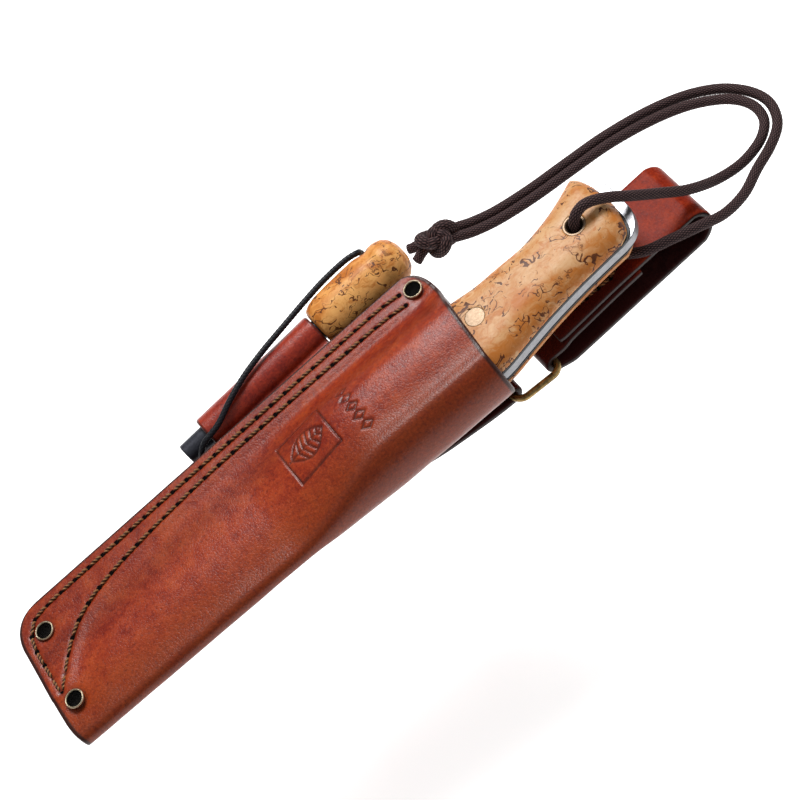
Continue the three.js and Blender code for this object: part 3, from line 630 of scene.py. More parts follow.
def knot_piece():
    """The overhand knot that ties both runs: two closed windings of the cord, one inside the other."""
    t = np.linspace(0, 2 * np.pi, 500)
    lobe = np.stack([np.sin(t) + 2 * np.sin(2 * t), np.cos(t) - 2 * np.cos(2 * t), -np.sin(3 * t)], 1)
    lobe /= np.array([2.35, 2.6, 1.25])
    reach = np.array(KNOT["size"]) - CORD_R
    turn = np.array(Matrix.Rotation(KNOT["turn"], 3, "Z") @ Matrix.Rotation(0.35, 3, "X"))
    inner = lobe @ np.array(Matrix.Rotation(0.9, 3, "Z")).T * (0.50, 0.50, 0.75) + (0, 0, 0.30)
    lines = [(shape * reach) @ turn.T + KNOT["at"] for shape in (lobe, inner)]
    core = braid_parts(lines[1], CORD_R + 0.45, blunt=0.01)
    return braided("lanyard_knot_winding", lines[0], CORD_R + 0.55, "knife", "paracord", CORD_LOOK, "lanyard_knot",
                   blunt=0.01, core=core)


lay_lanyard()


# ---------- the sheath's leather ----------
SWELL = (-64, -14)  # where the pocket opens from the blade's room to the handle's
HANDLE_GAP, DEEP_FOLD = 0.7, 9.8


def bulge(x):
    return (HANDLE_HALF + HANDLE_GAP - FLAT_HALF) * smoothstep(x, *SWELL)


def fold_depth(x):
    return FLAT_HALF + (DEEP_FOLD - FLAT_HALF) * smoothstep(x, *SWELL)


def fold_y(x):
    return -13.0 - 5.1 * (x - TIP_X) / (MOUTH_X - TIP_X)


def half_section(x, flat, fall, plateau, arc):
    """Half the pocket's inner section at x, from the stitched edge to the spine. The counts are rows a stretch."""
    height, depth, spine = FLAT_HALF + bulge(x), fold_depth(x), fold_y(x)
    rows = [(y, FLAT_HALF) for y in np.linspace(EDGE_Y, 29, flat, endpoint=False)]
    for t in np.linspace(1, 0, fall, endpoint=False):
        rows.append((10 + 19 * t, FLAT_HALF + bulge(x) * (1 + math.cos(math.pi * t)) / 2))
    rows += [(y, height) for y in np.linspace(10, spine + depth, plateau, endpoint=False)]
    for a in np.linspace(math.pi / 2, 0, arc):
        rows.append((spine + depth * (1 - math.cos(a)), height * math.sin(a)))
    return rows


FRONT_ROWS = (30, 44, 44, 15)
BACK_ROWS = (16, 14, 14, 9)


def full_section(x):
    """The inner and outer lines of the whole section, and the outward normals."""
    front = half_section(x, *FRONT_ROWS)
    back = half_section(x, *BACK_ROWS)
    inner = np.array(front + [(y, -z) for y, z in back[:-1][::-1]])
    step = unit(np.gradient(inner, axis=0))
    normal = np.stack([step[:, 1], -step[:, 0]], 1)
    normal *= np.sign(normal[0, 1])
    return inner, inner + LEATHER * normal, normal


def bezier2(a, b, c, n=14):
    t = np.linspace(0, 1, n)[:, None]
    a, b, c = np.array(a), np.array(b), np.array(c)
    return (1 - t) ** 2 * a + 2 * t * (1 - t) * b + t * t * c


TIP_LINE = np.vstack([
    [(-158, -40)], bezier2((-158, -23), (TIP_X, -17), (TIP_X, -6)),
    bezier2((-160, 29), (-158.6, EDGE_Y - 0.6), (-147, EDGE_Y + 1e-3), 30),
])
MOUTH_LINE = np.vstack([
    [(31.4, -40), (32.4, -12)], bezier2((MOUTH_X - 0.4, 26), (MOUTH_X, EDGE_Y), (27, EDGE_Y + 1e-3), 30),
])
EYELETS = {"eyelet_mouth": (29.8, 34.3), "eyelet_corner": (-149.9, 29.4), "eyelet_tip": (-154.8, -1.4)}
OUTER_ROW = [
    (24.5, 36.6), (12, 37.7), (-40, 37.9), (-90, 38), (-138.1, 37.6), (-144.4, 37.3), (-150.5, 36.3), (-154.7, 32),
    (-156.5, 25.9), (-157.3, 12.1), (-157.7, 4.6),
]
INNER_ROW = [
    (24, 31.2), (10, 32.6), (-30, 33.4), (-70, 33.2), (-100, 31.4), (-115.7, 29.6), (-128.6, 26.9), (-139.7, 21.9),
    (-149.4, 13.2), (-153.3, 8.4), (-157, 4.2),
]
STITCH = 6.8
EYELET_HOLE = 3.35


def holes_of(row):
    return resampled(spline(row, 0.5), STITCH)


HOLES = {"outer": holes_of(OUTER_ROW), "inner": holes_of(INNER_ROW)}
STAMP = {"x": (-45.0, -24.5), "y": (0.3, 20.3)}


def distance_to_lines(xy, lines):
    """Least distance from each point to any of the polylines."""
    best = np.full(len(xy), 1e9)
    for line in lines:
        line = np.asarray(line, float)
        for a, b in zip(line[:-1], line[1:]):
            d = b - a
            t = np.clip(((xy - a) @ d) / (d @ d), 0, 1)
            best = np.minimum(best, np.linalg.norm(xy - (a + t[:, None] * d), axis=1))
    return best


def stamp_lines():
    """A plain pressed frame round a simple leaf, and a short row of diamonds above it."""
    (x0, x1), (y0, y1) = STAMP["x"], STAMP["y"]
    cx, cy = (x0 + x1) / 2, (y0 + y1) / 2
    lines = [[(x0, y0), (x1, y0), (x1, y1), (x0, y1), (x0, y0)]]
    t = np.linspace(0, 1, 13)
    for side in (-1, 1):
        lines.append([(cx - 8 + 16 * k, cy + side * 5.6 * math.sin(math.pi * k) ** 0.9) for k in t])
        for k in (0.22, 0.36, 0.50, 0.64, 0.78):
            tip = 5.0 * math.sin(math.pi * min(k + 0.10, 1)) ** 0.9
            lines.append([(cx - 8 + 16 * k, cy), (cx - 8 + 16 * (k + 0.11), cy + side * tip)])
    lines.append([(cx - 9, cy), (cx + 8, cy)])
    for y in np.linspace(-2, 16.5, 5):
        lines.append([(-16.4, y), (-14, y - 1.6), (-11.6, y), (-14, y + 1.6), (-16.4, y)])
    return lines


def sheath_relief(xyz, front):
    """How far the leather stands off its plain shape, and how dark it is there, with painted shade towards the
    fold and along the valley by the inner stitch row.
    """
    xy, y = xyz[:, :2], xyz[:, 1]
    height = 0.22 * lumps(xyz, 30.0) + 0.10 * lumps(xyz, 11.0, 7.0)
    height *= 1 - 0.6 * smoothstep(np.abs(y - EDGE_Y), 3, 0)
    roll = y - (fold_y(xy[:, 0]) + fold_depth(xy[:, 0]))
    height -= np.where(roll > 0, 1.7 * bell(roll, 9.0), 1.7 * smoothstep(roll, -6.5, 0))
    height += 0.60 * bell(y - 5, 10)
    # painted shade: darker towards the fold's roll and in a band along the valley beside the inner stitch row
    dark = np.maximum(0.36 * smoothstep(-roll, -9, 6), 0.28 * bell(y - 20, 6))
    # darker towards the stitched edge
    dark = np.maximum(dark, 0.15 * smoothstep(y, 20, 32))
    for holes in HOLES.values():
        gap = distance_to_lines(xy, [holes])
        near = np.min([np.linalg.norm(xy - h, axis=1) for h in holes], axis=0)
        # darker along each stitch row; near-black round each hole is painted shade of the awl pit
        for far, wide, shade, shade_wide in ((gap, 0.85, 0.35, 0.9), (near, 0.8, 0.90, 0.95)):
            height -= 0.30 * bell(far, wide)
            dark = np.maximum(dark, shade * bell(far, shade_wide))
    for place in EYELETS.values():
        far = np.linalg.norm(xy - place, axis=1)
        height -= 0.28 * bell(far - 3.6, 1.3)
        dark = np.maximum(dark, 0.60 * bell(far - 3.8, 0.55))
    seam = distance_to_lines(xy, [HOLES["inner"]])
    inside = y < np.interp(xy[:, 0], *HOLES["inner"][::-1].T)
    height -= 0.60 * inside * smoothstep(seam, 1.0, 6.0) * smoothstep(seam, 18.0, 7.0)
    if front:
        close = (xyz[:, 0] > -50) & (xyz[:, 0] < -8) & (y > -6) & (y < 24)
        pressed = bell(distance_to_lines(xy[close], stamp_lines()), 0.45)
        height[close] -= 0.50 * pressed
        dark[close] = np.maximum(dark[close], 0.75 * pressed)
    return height, dark


STATIONS = np.linspace(TIP_X - 8, MOUTH_X + 8, 150)
# shares of the way from tip to mouth, closer together under the stamp
COLUMNS = np.sort(np.concatenate([np.linspace(0, 1, 261), np.linspace(0.585, 0.765, 102)[1:-1]]))


def pouch_sheet(lines):
    """Points on every row of a section, given at STATIONS, from the tip's line to the mouth's."""
    made = []
    for ys, zs in zip(lines[..., 0].T, lines[..., 1].T):
        ends = []
        for edge, x in ((TIP_LINE, TIP_X), (MOUTH_LINE, MOUTH_X)):
            for _ in range(4):
                x = np.interp(np.interp(x, STATIONS, ys), edge[:, 1], edge[:, 0])
            ends.append(x)
        x = ends[0] + (ends[1] - ends[0]) * COLUMNS
        made.append(np.stack([x, np.interp(x, STATIONS, ys), np.interp(x, STATIONS, zs)], 1))
    return np.array(made)


def border_loop(rows, cols):
    """Row and column of each point round the border of a grid, in order."""
    there = [(0, c) for c in range(cols - 1)] + [(r, cols - 1) for r in range(rows - 1)]
    back = [(rows - 1, c) for c in range(cols - 1, 0, -1)] + [(r, 0) for r in range(rows - 1, 0, -1)]
    return np.array(there + back).T


def build_pouch():
    """The folded sheath: a fine outer skin, a coarser lining, and a rounded burnished rim between them."""
    inner, outer, normals = (np.array(part) for part in zip(*(full_section(x) for x in STATIONS)))
    skin, lining = pouch_sheet(outer), pouch_sheet(inner)
    rows, cols = skin.shape[:2]
    front_rows = sum(FRONT_ROWS)
    lift, dark = np.zeros((rows, cols)), np.zeros((rows, cols))
    for part, front in ((slice(0, front_rows), True), (slice(front_rows, rows), False)):
        height, shade = sheath_relief(skin[part].reshape(-1, 3), front)
        lift[part], dark[part] = height.reshape(-1, cols), shade.reshape(-1, cols)
    for r in range(rows):
        for k in (0, 1):
            skin[r, :, k + 1] += lift[r] * np.interp(skin[r, :, 0], STATIONS, normals[:, r, k])
    for border in (dark[:2], dark[-2:], dark[:, :2], dark[:, -2:]):
        np.maximum(border, 0.95, out=border)
    warm = 0.9 * smoothstep(-skin[..., 1], -7, 14)

    r, c = border_loop(rows, cols)
    n = len(r)
    rim_out, rim_in = skin[r, c], lining[r, c]
    outwards = rim_out - skin[np.clip(r, 3, rows - 4), np.clip(c, 3, cols - 4)]
    outwards /= np.maximum(np.linalg.norm(outwards, axis=1), 1e-6)[:, None]
    points, faces = [skin.reshape(-1, 3)], grid_faces(rows, cols)
    previous, base = (r * cols + c).tolist(), rows * cols
    rim_shares = (0.12, 0.35, 0.65, 0.88)
    for share in rim_shares:
        round_off = outwards * 0.55 * math.sin(math.pi * share) ** 0.6
        points.append(rim_out * (1 - share) + rim_in * share + round_off)
        ring = list(range(base, base + n))
        faces += [[previous[(i + 1) % n], previous[i], ring[i], ring[(i + 1) % n]] for i in range(n)]
        previous, base = ring, base + n
    coarse = lining[::2, ::2]
    points.append(coarse.reshape(-1, 3))
    faces += grid_faces(*coarse.shape[:2], start=base, flip=True)
    r, c = border_loop(*coarse.shape[:2])
    lows = (base + r * coarse.shape[1] + c).tolist()
    for k, low in enumerate(lows):
        a, b, d = (previous[(2 * k + i) % n] for i in range(3))
        high = lows[(k + 1) % len(lows)]
        faces += [[b, a, low], [b, low, high], [d, b, high]]
    dark = np.concatenate([dark.ravel(), np.full(len(rim_shares) * n, 0.95), np.full(len(points[-1]), 0.8)])
    points = np.vstack(points)
    warm = np.concatenate([warm.ravel(), np.zeros(len(points) - warm.size)])
    return make_piece("pouch_leather", from_sheath(points), outward(points, faces), LEATHER_LOOK, "sheath",
                      "pouch", {"dark": dark, "warm": warm})


def bored(piece, holes, depth=30):
    """Cuts round holes through a piece, square to the sheath's face."""
    drills = [lathe([(0, -depth), (radius, -depth), (radius, depth), (0, depth)], 56, square_to_face(x, y))
              for x, y, radius in holes]
    cut_away(piece, *joined(drills)[:2])


def cut_away(piece, points, faces):
    """Takes a closed shape, given in millimetres, out of a piece."""
    data = bpy.data.meshes.new("tool")
    data.from_pydata((points * MM).tolist(), [], faces)
    tool = placed("tool", data)
    cut = piece.modifiers.new("cut", "BOOLEAN")
    cut.operation, cut.object, cut.solver = "DIFFERENCE", tool, "EXACT"
    bpy.context.view_layer.update()
    made = bpy.data.meshes.new_from_object(piece.evaluated_get(bpy.context.evaluated_depsgraph_get()))
    piece.modifiers.clear()
    piece.data = made
    bpy.data.objects.remove(tool)
    bpy.data.meshes.remove(data)


bored(build_pouch(), [(x, y, EYELET_HOLE) for x, y in EYELETS.values()])


# ---------- straps ----------
def left_of(line):
    """The direction to the left of a line at each of its points."""
    step = np.gradient(line, axis=0)
    step[0], step[-1] = line[1] - line[0], line[-1] - line[-2]
    step = unit(step)
    return np.stack([-step[:, 1], step[:, 0]], 1)


def arc(cx, cz, r, start, end, steps):
    a = np.radians(np.linspace(start, end, steps + 1))
    return np.stack([cx + r * np.cos(a), cz + r * np.sin(a)], 1)


def strap_piece(name, line, span, body, holes, outside, replaces, shadow_span):
    """A leather strap along a line of (x, z), as wide as span(x, z) says, with rounded dark edges.
    outside is +1 where the good face is on the left of the line. The last argument is the x span over which
    painted shadow fades out: the handle's shadow on the belt loop, the sheath's on the back tab."""
    across = 44
    line = resampled(np.asarray(line, float), 0.75)
    u = np.linspace(-1, 1, across)
    u = np.sign(u) * (1 - (1 - np.abs(u)) ** 1.35)
    low, high = (np.broadcast_to(v, line.shape[:1]) for v in span(line[:, 0], line[:, 1]))
    width = (high - low) / 2
    y = (low + high)[:, None] / 2 + u[None, :] * (width[:, None] - 0.02)
    edge = width[:, None] * (1 - np.abs(u))[None, :]
    drop = 0.55 * (1 - np.clip(edge / 0.9, 0, 1)) ** 2
    flat = np.broadcast_to(line[:, None, :], (*y.shape, 2))
    nearby = np.stack([flat[..., 0], y, flat[..., 1]], -1)
    normal = left_of(line)
    skins, shades = [], []
    for side in (1, -1):
        swell = 0.12 * lumps(nearby.reshape(-1, 3), 14.0, 3.0 * side).reshape(y.shape) - 0.12
        dark = 0.9 * (1 - np.clip(edge / 0.55, 0, 1)) ** 2
        if side == outside:
            # near-black round each stitch hole: painted shade of the awl pit
            near = np.min([np.linalg.norm(nearby[..., :2] - h, axis=-1) for h in holes], axis=0)
            swell = swell - 0.25 * bell(near, 0.8)
            dark = np.maximum(dark, 0.6 * bell(near, 0.8))
        offset = side * (STRAP / 2 - drop + np.minimum(swell, 0))
        skins.append(np.stack([line[:, 0:1] + offset * normal[:, 0:1], y,
                               line[:, 1:2] + offset * normal[:, 1:2]], -1)[:, ::side])
        shades.append(dark[:, ::side])
    points, faces = lofted(np.concatenate(skins, axis=1))
    quads = (len(line) - 1) * 2 * across
    place = np.arange(quads) % (2 * across)
    good = 0 if outside > 0 else 1
    slots = np.where(place < across - 1, good, np.where(place < across, 2, 1 - good))
    slots = np.where(place == 2 * across - 1, 2, slots)
    slots = np.concatenate([slots, np.full(len(faces) - quads, 2)])
    shade = np.concatenate([np.concatenate(shades, axis=1).ravel(), [0.9, 0.9]])
    # painted shadow: near-black maroon below the given x, fading out over the given span
    uneven = 3.0 * lumps(points, 8.0, 2.0)
    painted_shadow = 0.92 * smoothstep(-(points[:, 0] + 0.25 * points[:, 1] + uneven), -shadow_span[1], -shadow_span[0])
    make_piece(name, points, faces, [STRAP_LOOK, INSIDE_SHADE_LOOK, EDGE_LOOK], body, replaces,
               {"dark": shade, "painted_shadow": painted_shadow}, slots)


def end_holes(x0, x1, low, high):
    """Stitch holes along the two sides and the end of a strap's lap."""
    return resampled(np.array([(x0, low), (x1, low), (x1, high), (x0, high)], float), 5.4)


def back_height(x):
    local = x - SHEATH_PLACE[0]
    return LIFT + local * math.sin(TILT) - (FLAT_HALF + bulge(local) + LEATHER) * math.cos(TILT)


HOLD_R = WIRE_R + 0.3 + STRAP / 2
TAB_GAP = 0.45  # between the sheath's back and the tab
TAB_SPAN = (RING["y"] - 13, RING["y"] + 12.8)
LOOP = {"width": 29.8, "apexX": 145.8, "top": 15.8, "end": 112, "lap": 73}


def loop_span(x, z):
    near_ring = 2 * smoothstep(-np.asarray(x, float), -76, -66)
    low = -35.3 + 0.088 * (x - 70) + 0.16 * z + near_ring
    return low, low + LOOP["width"] - 2 * near_ring


def build_straps():
    half = STRAP / 2
    under = lambda x: back_height(x) - TAB_GAP - half
    line = np.vstack([
        [(x, under(x)) for x in (-40, -31, -22, -12, -3, 5)], [(20, 3.2), (34, 1.9), (42, half)],
        arc(RING["x0"], RING["z"], HOLD_R, -90, 90, 10), [(42, RING["z"] + HOLD_R - 0.3), (34, 6.2), (26, 6.1)],
    ])
    holes = end_holes(2, -37, TAB_SPAN[0] + 4, TAB_SPAN[1] - 4)
    # the back tab lies under the sheath and is painted in shadow along its whole length
    strap_piece("back_tab_leather", spline(line, 0.8), lambda x, z: TAB_SPAN, "sheath", holes, -1, "back_tab",
                (150, 160))
    bend, inner = (LOOP["top"] - STRAP) / 2, LOOP["top"] - STRAP - 0.3 - half
    line = np.vstack([
        [(LOOP["lap"], LOOP["top"] - half - 1.1), (84, LOOP["top"] - half - 0.6)],
        [(100, LOOP["top"] - half), (118, LOOP["top"] - half)],
        arc(LOOP["apexX"] - bend - half, LOOP["top"] - half - bend, bend, 90, -90, 14),
        [(120, half), (100, half), (84, half)],
        arc(RING["x1"], RING["z"], HOLD_R, -90, -270, 10),
        [(72.5, inner - 2.6), (77, inner - 1), (86, inner - 0.6), (100, inner - 0.1), (LOOP["end"], inner)],
    ])
    low, high = loop_span(95, LOOP["top"])
    loop_holes = end_holes(79, 105, low + 4.5, high - 4.5)
    # the belt loop is painted in the handle's shadow up to x 97 to 109
    strap_piece("belt_loop_leather", spline(line, 0.8), loop_span, "belt_hanger", loop_holes, 1, "belt_loop",
                (97, 109))
    return holes, loop_holes


# ---------- stitches ----------
PLY_TURN = 4.4  # the thread's length for one turn of its two plies
THREAD_R, THREAD_RISE, THREAD_SINK = 0.72, 0.42, 0.80
HOLE_PROFILE = [(0.732, -0.7), (1.22, -0.05), (0.976, 0.10), (0.488, 0.14)]  # radius and height


def twisted_stitch(a, b, up):
    """One stitch of two-ply waxed thread between two holes: its plies wind round each other."""
    a, b, up = (np.asarray(v, float) for v in (a, b, up))
    t = np.linspace(0, 1, 26)
    run = np.linalg.norm(b - a)
    shape = np.clip(np.minimum(t, 1 - t) * run / 0.9, 0, 1)
    height = -THREAD_SINK + (THREAD_SINK + THREAD_RISE) * np.sin(shape * math.pi / 2)
    line = a + (b - a) * (0.14 + 0.72 * t)[:, None] + up * height[:, None]
    ply = lambda s, angle: np.cos(2 * (angle - 2 * math.pi * s / PLY_TURN))
    points, faces = tube(line, lambda s, angle: THREAD_R * (0.82 + 0.18 * ply(s, angle)), 12)
    # the height layer paints shade between the two plies
    height = 0.5 + 0.5 * ply(np.linspace(0, run, 26)[:, None], around(12)[None, :])
    return points, faces, np.concatenate([height.ravel(), [0.2, 0.2]])


def hole_shade_disc(at, up):
    """A near-black disc where the thread goes into the leather: painted shade of the awl hole."""
    side = np.cross(up, [1.0, 0, 0])
    side /= np.linalg.norm(side)
    a = around(12)[:, None]
    circle = np.cos(a) * side + np.sin(a) * np.cross(up, side)
    return lofted([at + up * rise + radius * circle for radius, rise in HOLE_PROFILE])


def sew(name, holes, body, replaces):
    """Stitches between neighbouring holes, given as (point, up) pairs, with a near-black disc of painted shade at
    each hole.
    """
    threads = [twisted_stitch(a, b, (a_up + b_up) / 2) for (a, a_up), (b, b_up) in zip(holes[:-1], holes[1:])]
    points, faces, height = joined(threads)
    make_piece(name, points, faces, THREAD_LOOK, body, replaces, {"height": height})
    points, faces, _ = joined([hole_shade_disc(at, up) for at, up in holes])
    make_piece(name + "_holes", points, faces, HOLE_SHADE_LOOK, body)


def sew_all(tab_holes, loop_holes):
    """Every row of stitches: two on each face of the sheath, the tab's and the belt loop's."""
    for row, holes in HOLES.items():
        for side, sign, sunk in (("front", 1, 0.25), ("back", -1, 0.65)):
            up = from_sheath((0, 0, sign)) - from_sheath((0, 0, 0))
            places = [(from_sheath((x, y, sign * (FACE_Z - sunk))), up) for x, y in holes]
            sew(f"{row}_thread_{side}", places, "sheath", f"{row}_stitching_{side}")
    down, above = np.array([math.sin(TILT), 0, -math.cos(TILT)]), np.array([0, 0, 1.0])
    places = [(np.array([x, y, back_height(x) - TAB_GAP - STRAP + 0.45]), down) for x, y in tab_holes]
    sew("tab_thread", places, "sheath", "tab_stitching")
    top = lambda x: np.interp(x, (73, 84, 100, 118), LOOP["top"] - np.array([1.1, 0.6, 0, 0]))
    places = [(np.array([x, y, top(x) - 0.22]), above) for x, y in loop_holes]
    sew("belt_loop_thread", places, "belt_hanger", "belt_loop_stitching")


sew_all(*build_straps())


# ---------- eyelets, ring, pins and tube ----------
def build_eyelets():
    """Rolled brass eyelets, open right through, with the bore coloured near-black as painted shade."""
    bore, barrel, flange, sides = 2.95, 3.25, 3.75, 64
    face, top = FACE_Z + 0.05, FACE_Z + 0.80
    rim = [(bore, top - 0.55), (bore + 0.10, top - 0.22), (bore + 0.34, top), (flange - 0.36, top),
           (flange - 0.08, top - 0.22), (flange, face + 0.22), (flange - 0.12, face), (barrel, face)]
    half = rounded([(bore, 0.2), *rim, (barrel, 0.2)], 0.10, 3)
    profile = np.vstack([half, [(r, -z) for r, z in half[::-1]]])
    for name, (x, y) in EYELETS.items():
        points, faces = lathe(profile, sides, square_to_face(x, y), closed=True)
        inside = profile[:, 0] < bore + 0.06
        ring_of = [min(f) // sides for f in faces]
        slots = [1 if inside[r] and inside[(r + 1) % len(profile)] else 0 for r in ring_of]
        make_piece(name + "_brass", points, faces, [EYELET, EYELET_BORE_SHADE], "sheath", name,
                   face_slots=slots)


def build_ring():
    """The rectangular wire ring, with rounded corners."""
    x0, x1, y, half, z, r = (RING[k] for k in ("x0", "x1", "y", "half", "z", "corner"))
    line = []
    for i, (cx, cy) in enumerate([(x1, y - half), (x1, y + half), (x0, y + half), (x0, y - half)]):
        sx, sy = (-1 if cx == x1 else 1), (-1 if cy == y + half else 1)
        a = np.radians(np.linspace(270 + 90 * i, 360 + 90 * i, 15))
        line.append(np.stack([cx + sx * r + r * np.cos(a), cy + sy * r + r * np.sin(a), np.full(15, z)], 1))
    points, faces = tube(resampled(np.vstack([*line, line[0][:1]]), 0.8), WIRE_R, 28)
    make_piece("dangler_ring_wire", points, faces, RING_METAL, "ring", "dangler_ring")


PINS = {"pin_rear": (38.9, 3.6), "pin_front": (0, 2.2)}
HANDLE_HOLES = [(*place, 3.83) for place in PINS.values()] + [(*TUBE_AT, 4.38)]


def build_pins():
    """Two solid rivets, and the tube that lines the lanyard's hole."""
    radius, end = 3.75, HANDLE_HALF + 0.05
    profile = rounded([(0, -end), (radius, -end), (radius, end), (0, end)], 0.22, 5)
    for name, place in PINS.items():
        points, faces = lathe(profile, 72, square_to_face(*place))
        make_piece(name + "_brass", points, faces, BRASS, "knife", name)
    r0, r1, h = 3.2, 4.3, HANDLE_HALF + 0.12
    half = rounded([(r0, 0), (r0, h - 0.4), (r0 + 0.35, h), (r1 - 0.12, h), (r1, h - 0.15), (r1, 0)], 0.14, 4)
    profile = np.vstack([half[:-1], [(r, -z) for r, z in half[1:][::-1]]])
    points, faces = lathe(profile, 72, square_to_face(*TUBE_AT), closed=True)
    make_piece("lanyard_tube_brass", points, faces, BRASS, "knife", "lanyard_tube")


build_eyelets()
build_ring()
build_pins()

# ---------- knife handle ----------
spine_y = along([(-12, -15.6), (10, -16.2), (34, -16.6), (46, -14.7), (58, -12.7), (72, -11.2), (86, -10.4),
                 (94, -10.1)])
grip_y = along([(-12, 15), (-6, 17.2), (2, 19.2), (12, 19.6), (24, 19.4), (35, 18.9), (46, 17.2), (56, 16.9),
                (68, 16.6), (80, 18.6), (88, 21), (97, 24.6)])
beak_y = along([(97, 24.6), (99, 22.6), (101, 17.5), (SCALE_END, 11)])
corner_y = along([(94, -10.1), (98.4, -7.4), (100.4, -2.6), (SCALE_END, 3)])


def scale_section(x):
    """A handle scale's outline at x, as (y, height over its flat side), domed towards its rims and ends."""
    y0 = float(spine_y(x) if x < 94 else corner_y(x))
    y1 = float(grip_y(x) if x < 97 else beak_y(x))
    reach = min(10.0, (y1 - y0) / 2 - 0.5)
    front, back = min(1, (x + 12.8) / 6), min(1, (SCALE_END + 0.4 - x) / 8)
    dome = lambda t: math.sqrt(max(0.0, 1 - (1 - t) ** 2))
    height = SCALE * dome(front) * dome(back)
    a = np.radians(np.linspace(0, 90, 16))
    rise = [(y0 + reach * (1 - math.cos(t)), height * math.sin(t)) for t in a]
    top = [(y, height) for y in np.linspace(y0 + reach, y1 - reach, 16)[1:-1]]
    fall = [(y1 - reach * (1 - math.cos(t)), height * math.sin(t)) for t in a[::-1]]
    base = [(y, 0.0) for y in np.linspace(y1, y0, 22)[1:-1]]
    return np.array(rise + top + fall + base)


def plate_body(outline, z0, z1, chamfer):
    """A closed plate over an (x, y) outline, with chamfered rims."""
    outline = np.asarray(outline, float)
    area = np.sum(outline[:, 0] * np.roll(outline[:, 1], -1) - np.roll(outline[:, 0], -1) * outline[:, 1])
    if area < 0:
        outline = outline[::-1]
    step = unit(np.roll(outline, -1, 0) - np.roll(outline, 1, 0))
    inner = outline - chamfer * np.stack([step[:, 1], -step[:, 0]], 1)
    n = len(outline)
    levels = [(inner, z0), (outline, z0 + chamfer), (outline, z1 - chamfer), (inner, z1)]
    points = np.vstack([np.column_stack([flat, np.full(n, z)]) for flat, z in levels])
    caps = []
    for a, b, c in tessellate_polygon([[Vector((x, y, 0)) for x, y in inner]]):
        ab, ac = inner[b] - inner[a], inner[c] - inner[a]
        caps.append((a, b, c) if ab[0] * ac[1] - ab[1] * ac[0] > 0 else (c, b, a))
    faces = outward(points, grid_faces(4, n, closed=True))
    return points, faces + [[a, c, b] for a, b, c in caps] + [[i + 3 * n for i in cap] for cap in caps]


def handle_outline(end_x):
    """The handle's outline from the side, with its butt at end_x."""
    out = end_x - SCALE_END
    spine_x, grip_x = np.linspace(-12, 94, 70), np.linspace(97, -12, 74)
    butt = [(94, -10.1), (97.6 + 0.4 * out, -9), (100.2 + 0.7 * out, -6), (101.6 + 0.95 * out, -1),
            (101.9 + out, 5), (101.9 + out, 11), (101.3 + 1.05 * out, 16.5), (99.2 + 0.9 * out, 21.8), (97, 24.6)]
    return np.vstack([np.stack([spine_x, spine_y(spine_x)], 1), spline(butt, 0.9)[1:-1],
                      np.stack([grip_x, grip_y(grip_x)], 1)])


blade_spine = along([(-140, -4.6), (-132, -8.2), (-120, -11.4), (-104, -12.4), (-60, -13.6), (-10, -15)])
blade_edge = along([(-140, -3.9), (-137, -0.6), (-131, 4), (-122, 8.4), (-110, 11.2), (-95, 12.4), (-60, 12.9),
                    (-22, 13)])
grind_line = along([(-140, -4.3), (-137, -3.4), (-131, -1.4), (-122, 1.4), (-110, 3.6), (-95, 4.8), (-22, 5.2)])


def blade_section(x):
    """Two flat flanks that meet in a ground edge, with a fine final bevel and eased spine corners."""
    spine, edge, grind = float(blade_spine(x)), float(blade_edge(x)), float(grind_line(x))
    t, ease, bevel = TANG / 2, 0.22, min(0.9, 0.3 * (edge - grind))
    share = bevel / max(edge - grind, 0.1)
    thin = 0.12 + share * (t - 0.12)
    half = [(spine, t - ease), (spine + ease, t), (grind, t), (edge - bevel, thin), (edge, 0.06)]
    return half + [(y, -z) for y, z in half[::-1]]


def build_blade():
    """The blade with its full tang, and a thin liner on each side of the tang."""
    stations = np.concatenate([np.linspace(-140, -120, 40), np.linspace(-119, -24, 60)])
    ground = lofted([[(x, y, z) for y, z in blade_section(x)] for x in stations])
    heel = [(-24.4, float(blade_spine(-24.4))), (-12, -15.1), (-11, -15.3), (-11, 15.2), (-13, 13.2), (-17, 12.6),
            (-19, 9.5), (-22, 9.2), (-24.4, 5)]
    points, faces, _ = joined([ground, plate_body(heel, -TANG / 2 + 0.01, TANG / 2 - 0.01, 0.15),
                               plate_body(handle_outline(105.7), -TANG / 2, TANG / 2, 0.3)])
    piece = make_piece("blade_steel", from_sheath(points), faces, STEEL, "knife", "blade",
                       smooth=False)
    bored(piece, HANDLE_HOLES)
    for side, sign in (("front", 1), ("back", -1)):
        low, high = sorted((sign * (SCALE_Z - 0.2), sign * (SCALE_Z - 0.2 - LINER)))
        points, faces = plate_body(handle_outline(SCALE_END), low, high, 0.1)
        piece = make_piece(f"liner_{side}_fibre", from_sheath(points), faces, LINER_LOOK, "knife",
                           f"liner_{side}", smooth=False)
        bored(piece, HANDLE_HOLES)


def build_scales():
    """The two burl scales, bored for the pins and the tube."""
    stations = np.concatenate([np.linspace(-12, -6, 14), np.linspace(-5, 93, 110),
                               np.linspace(93.6, SCALE_END, 26)])
    sections = [scale_section(x) for x in stations]
    for side, sign in (("front", 1), ("back", -1)):
        points, faces = lofted([np.stack([np.full(len(part), x), part[:, 0], sign * (SCALE_Z + part[:, 1])], 1)
                                for x, part in zip(stations, sections)])
        rim = smoothstep(HANDLE_HALF - sign * points[:, 2], 0.03, 2.5)
        rim += 0.6 * smoothstep(-points[:, 0], -62, -38)
        piece = make_piece(f"scale_{side}_burl", from_sheath(points), faces, BURL, "knife",
                           f"scale_{side}", {"rim": rim})
        bored(piece, HANDLE_HOLES)


build_scales()
build_blade()


# ---------- fire steel ----------
SLEEVE_ENDS = (10.8, 66.0)


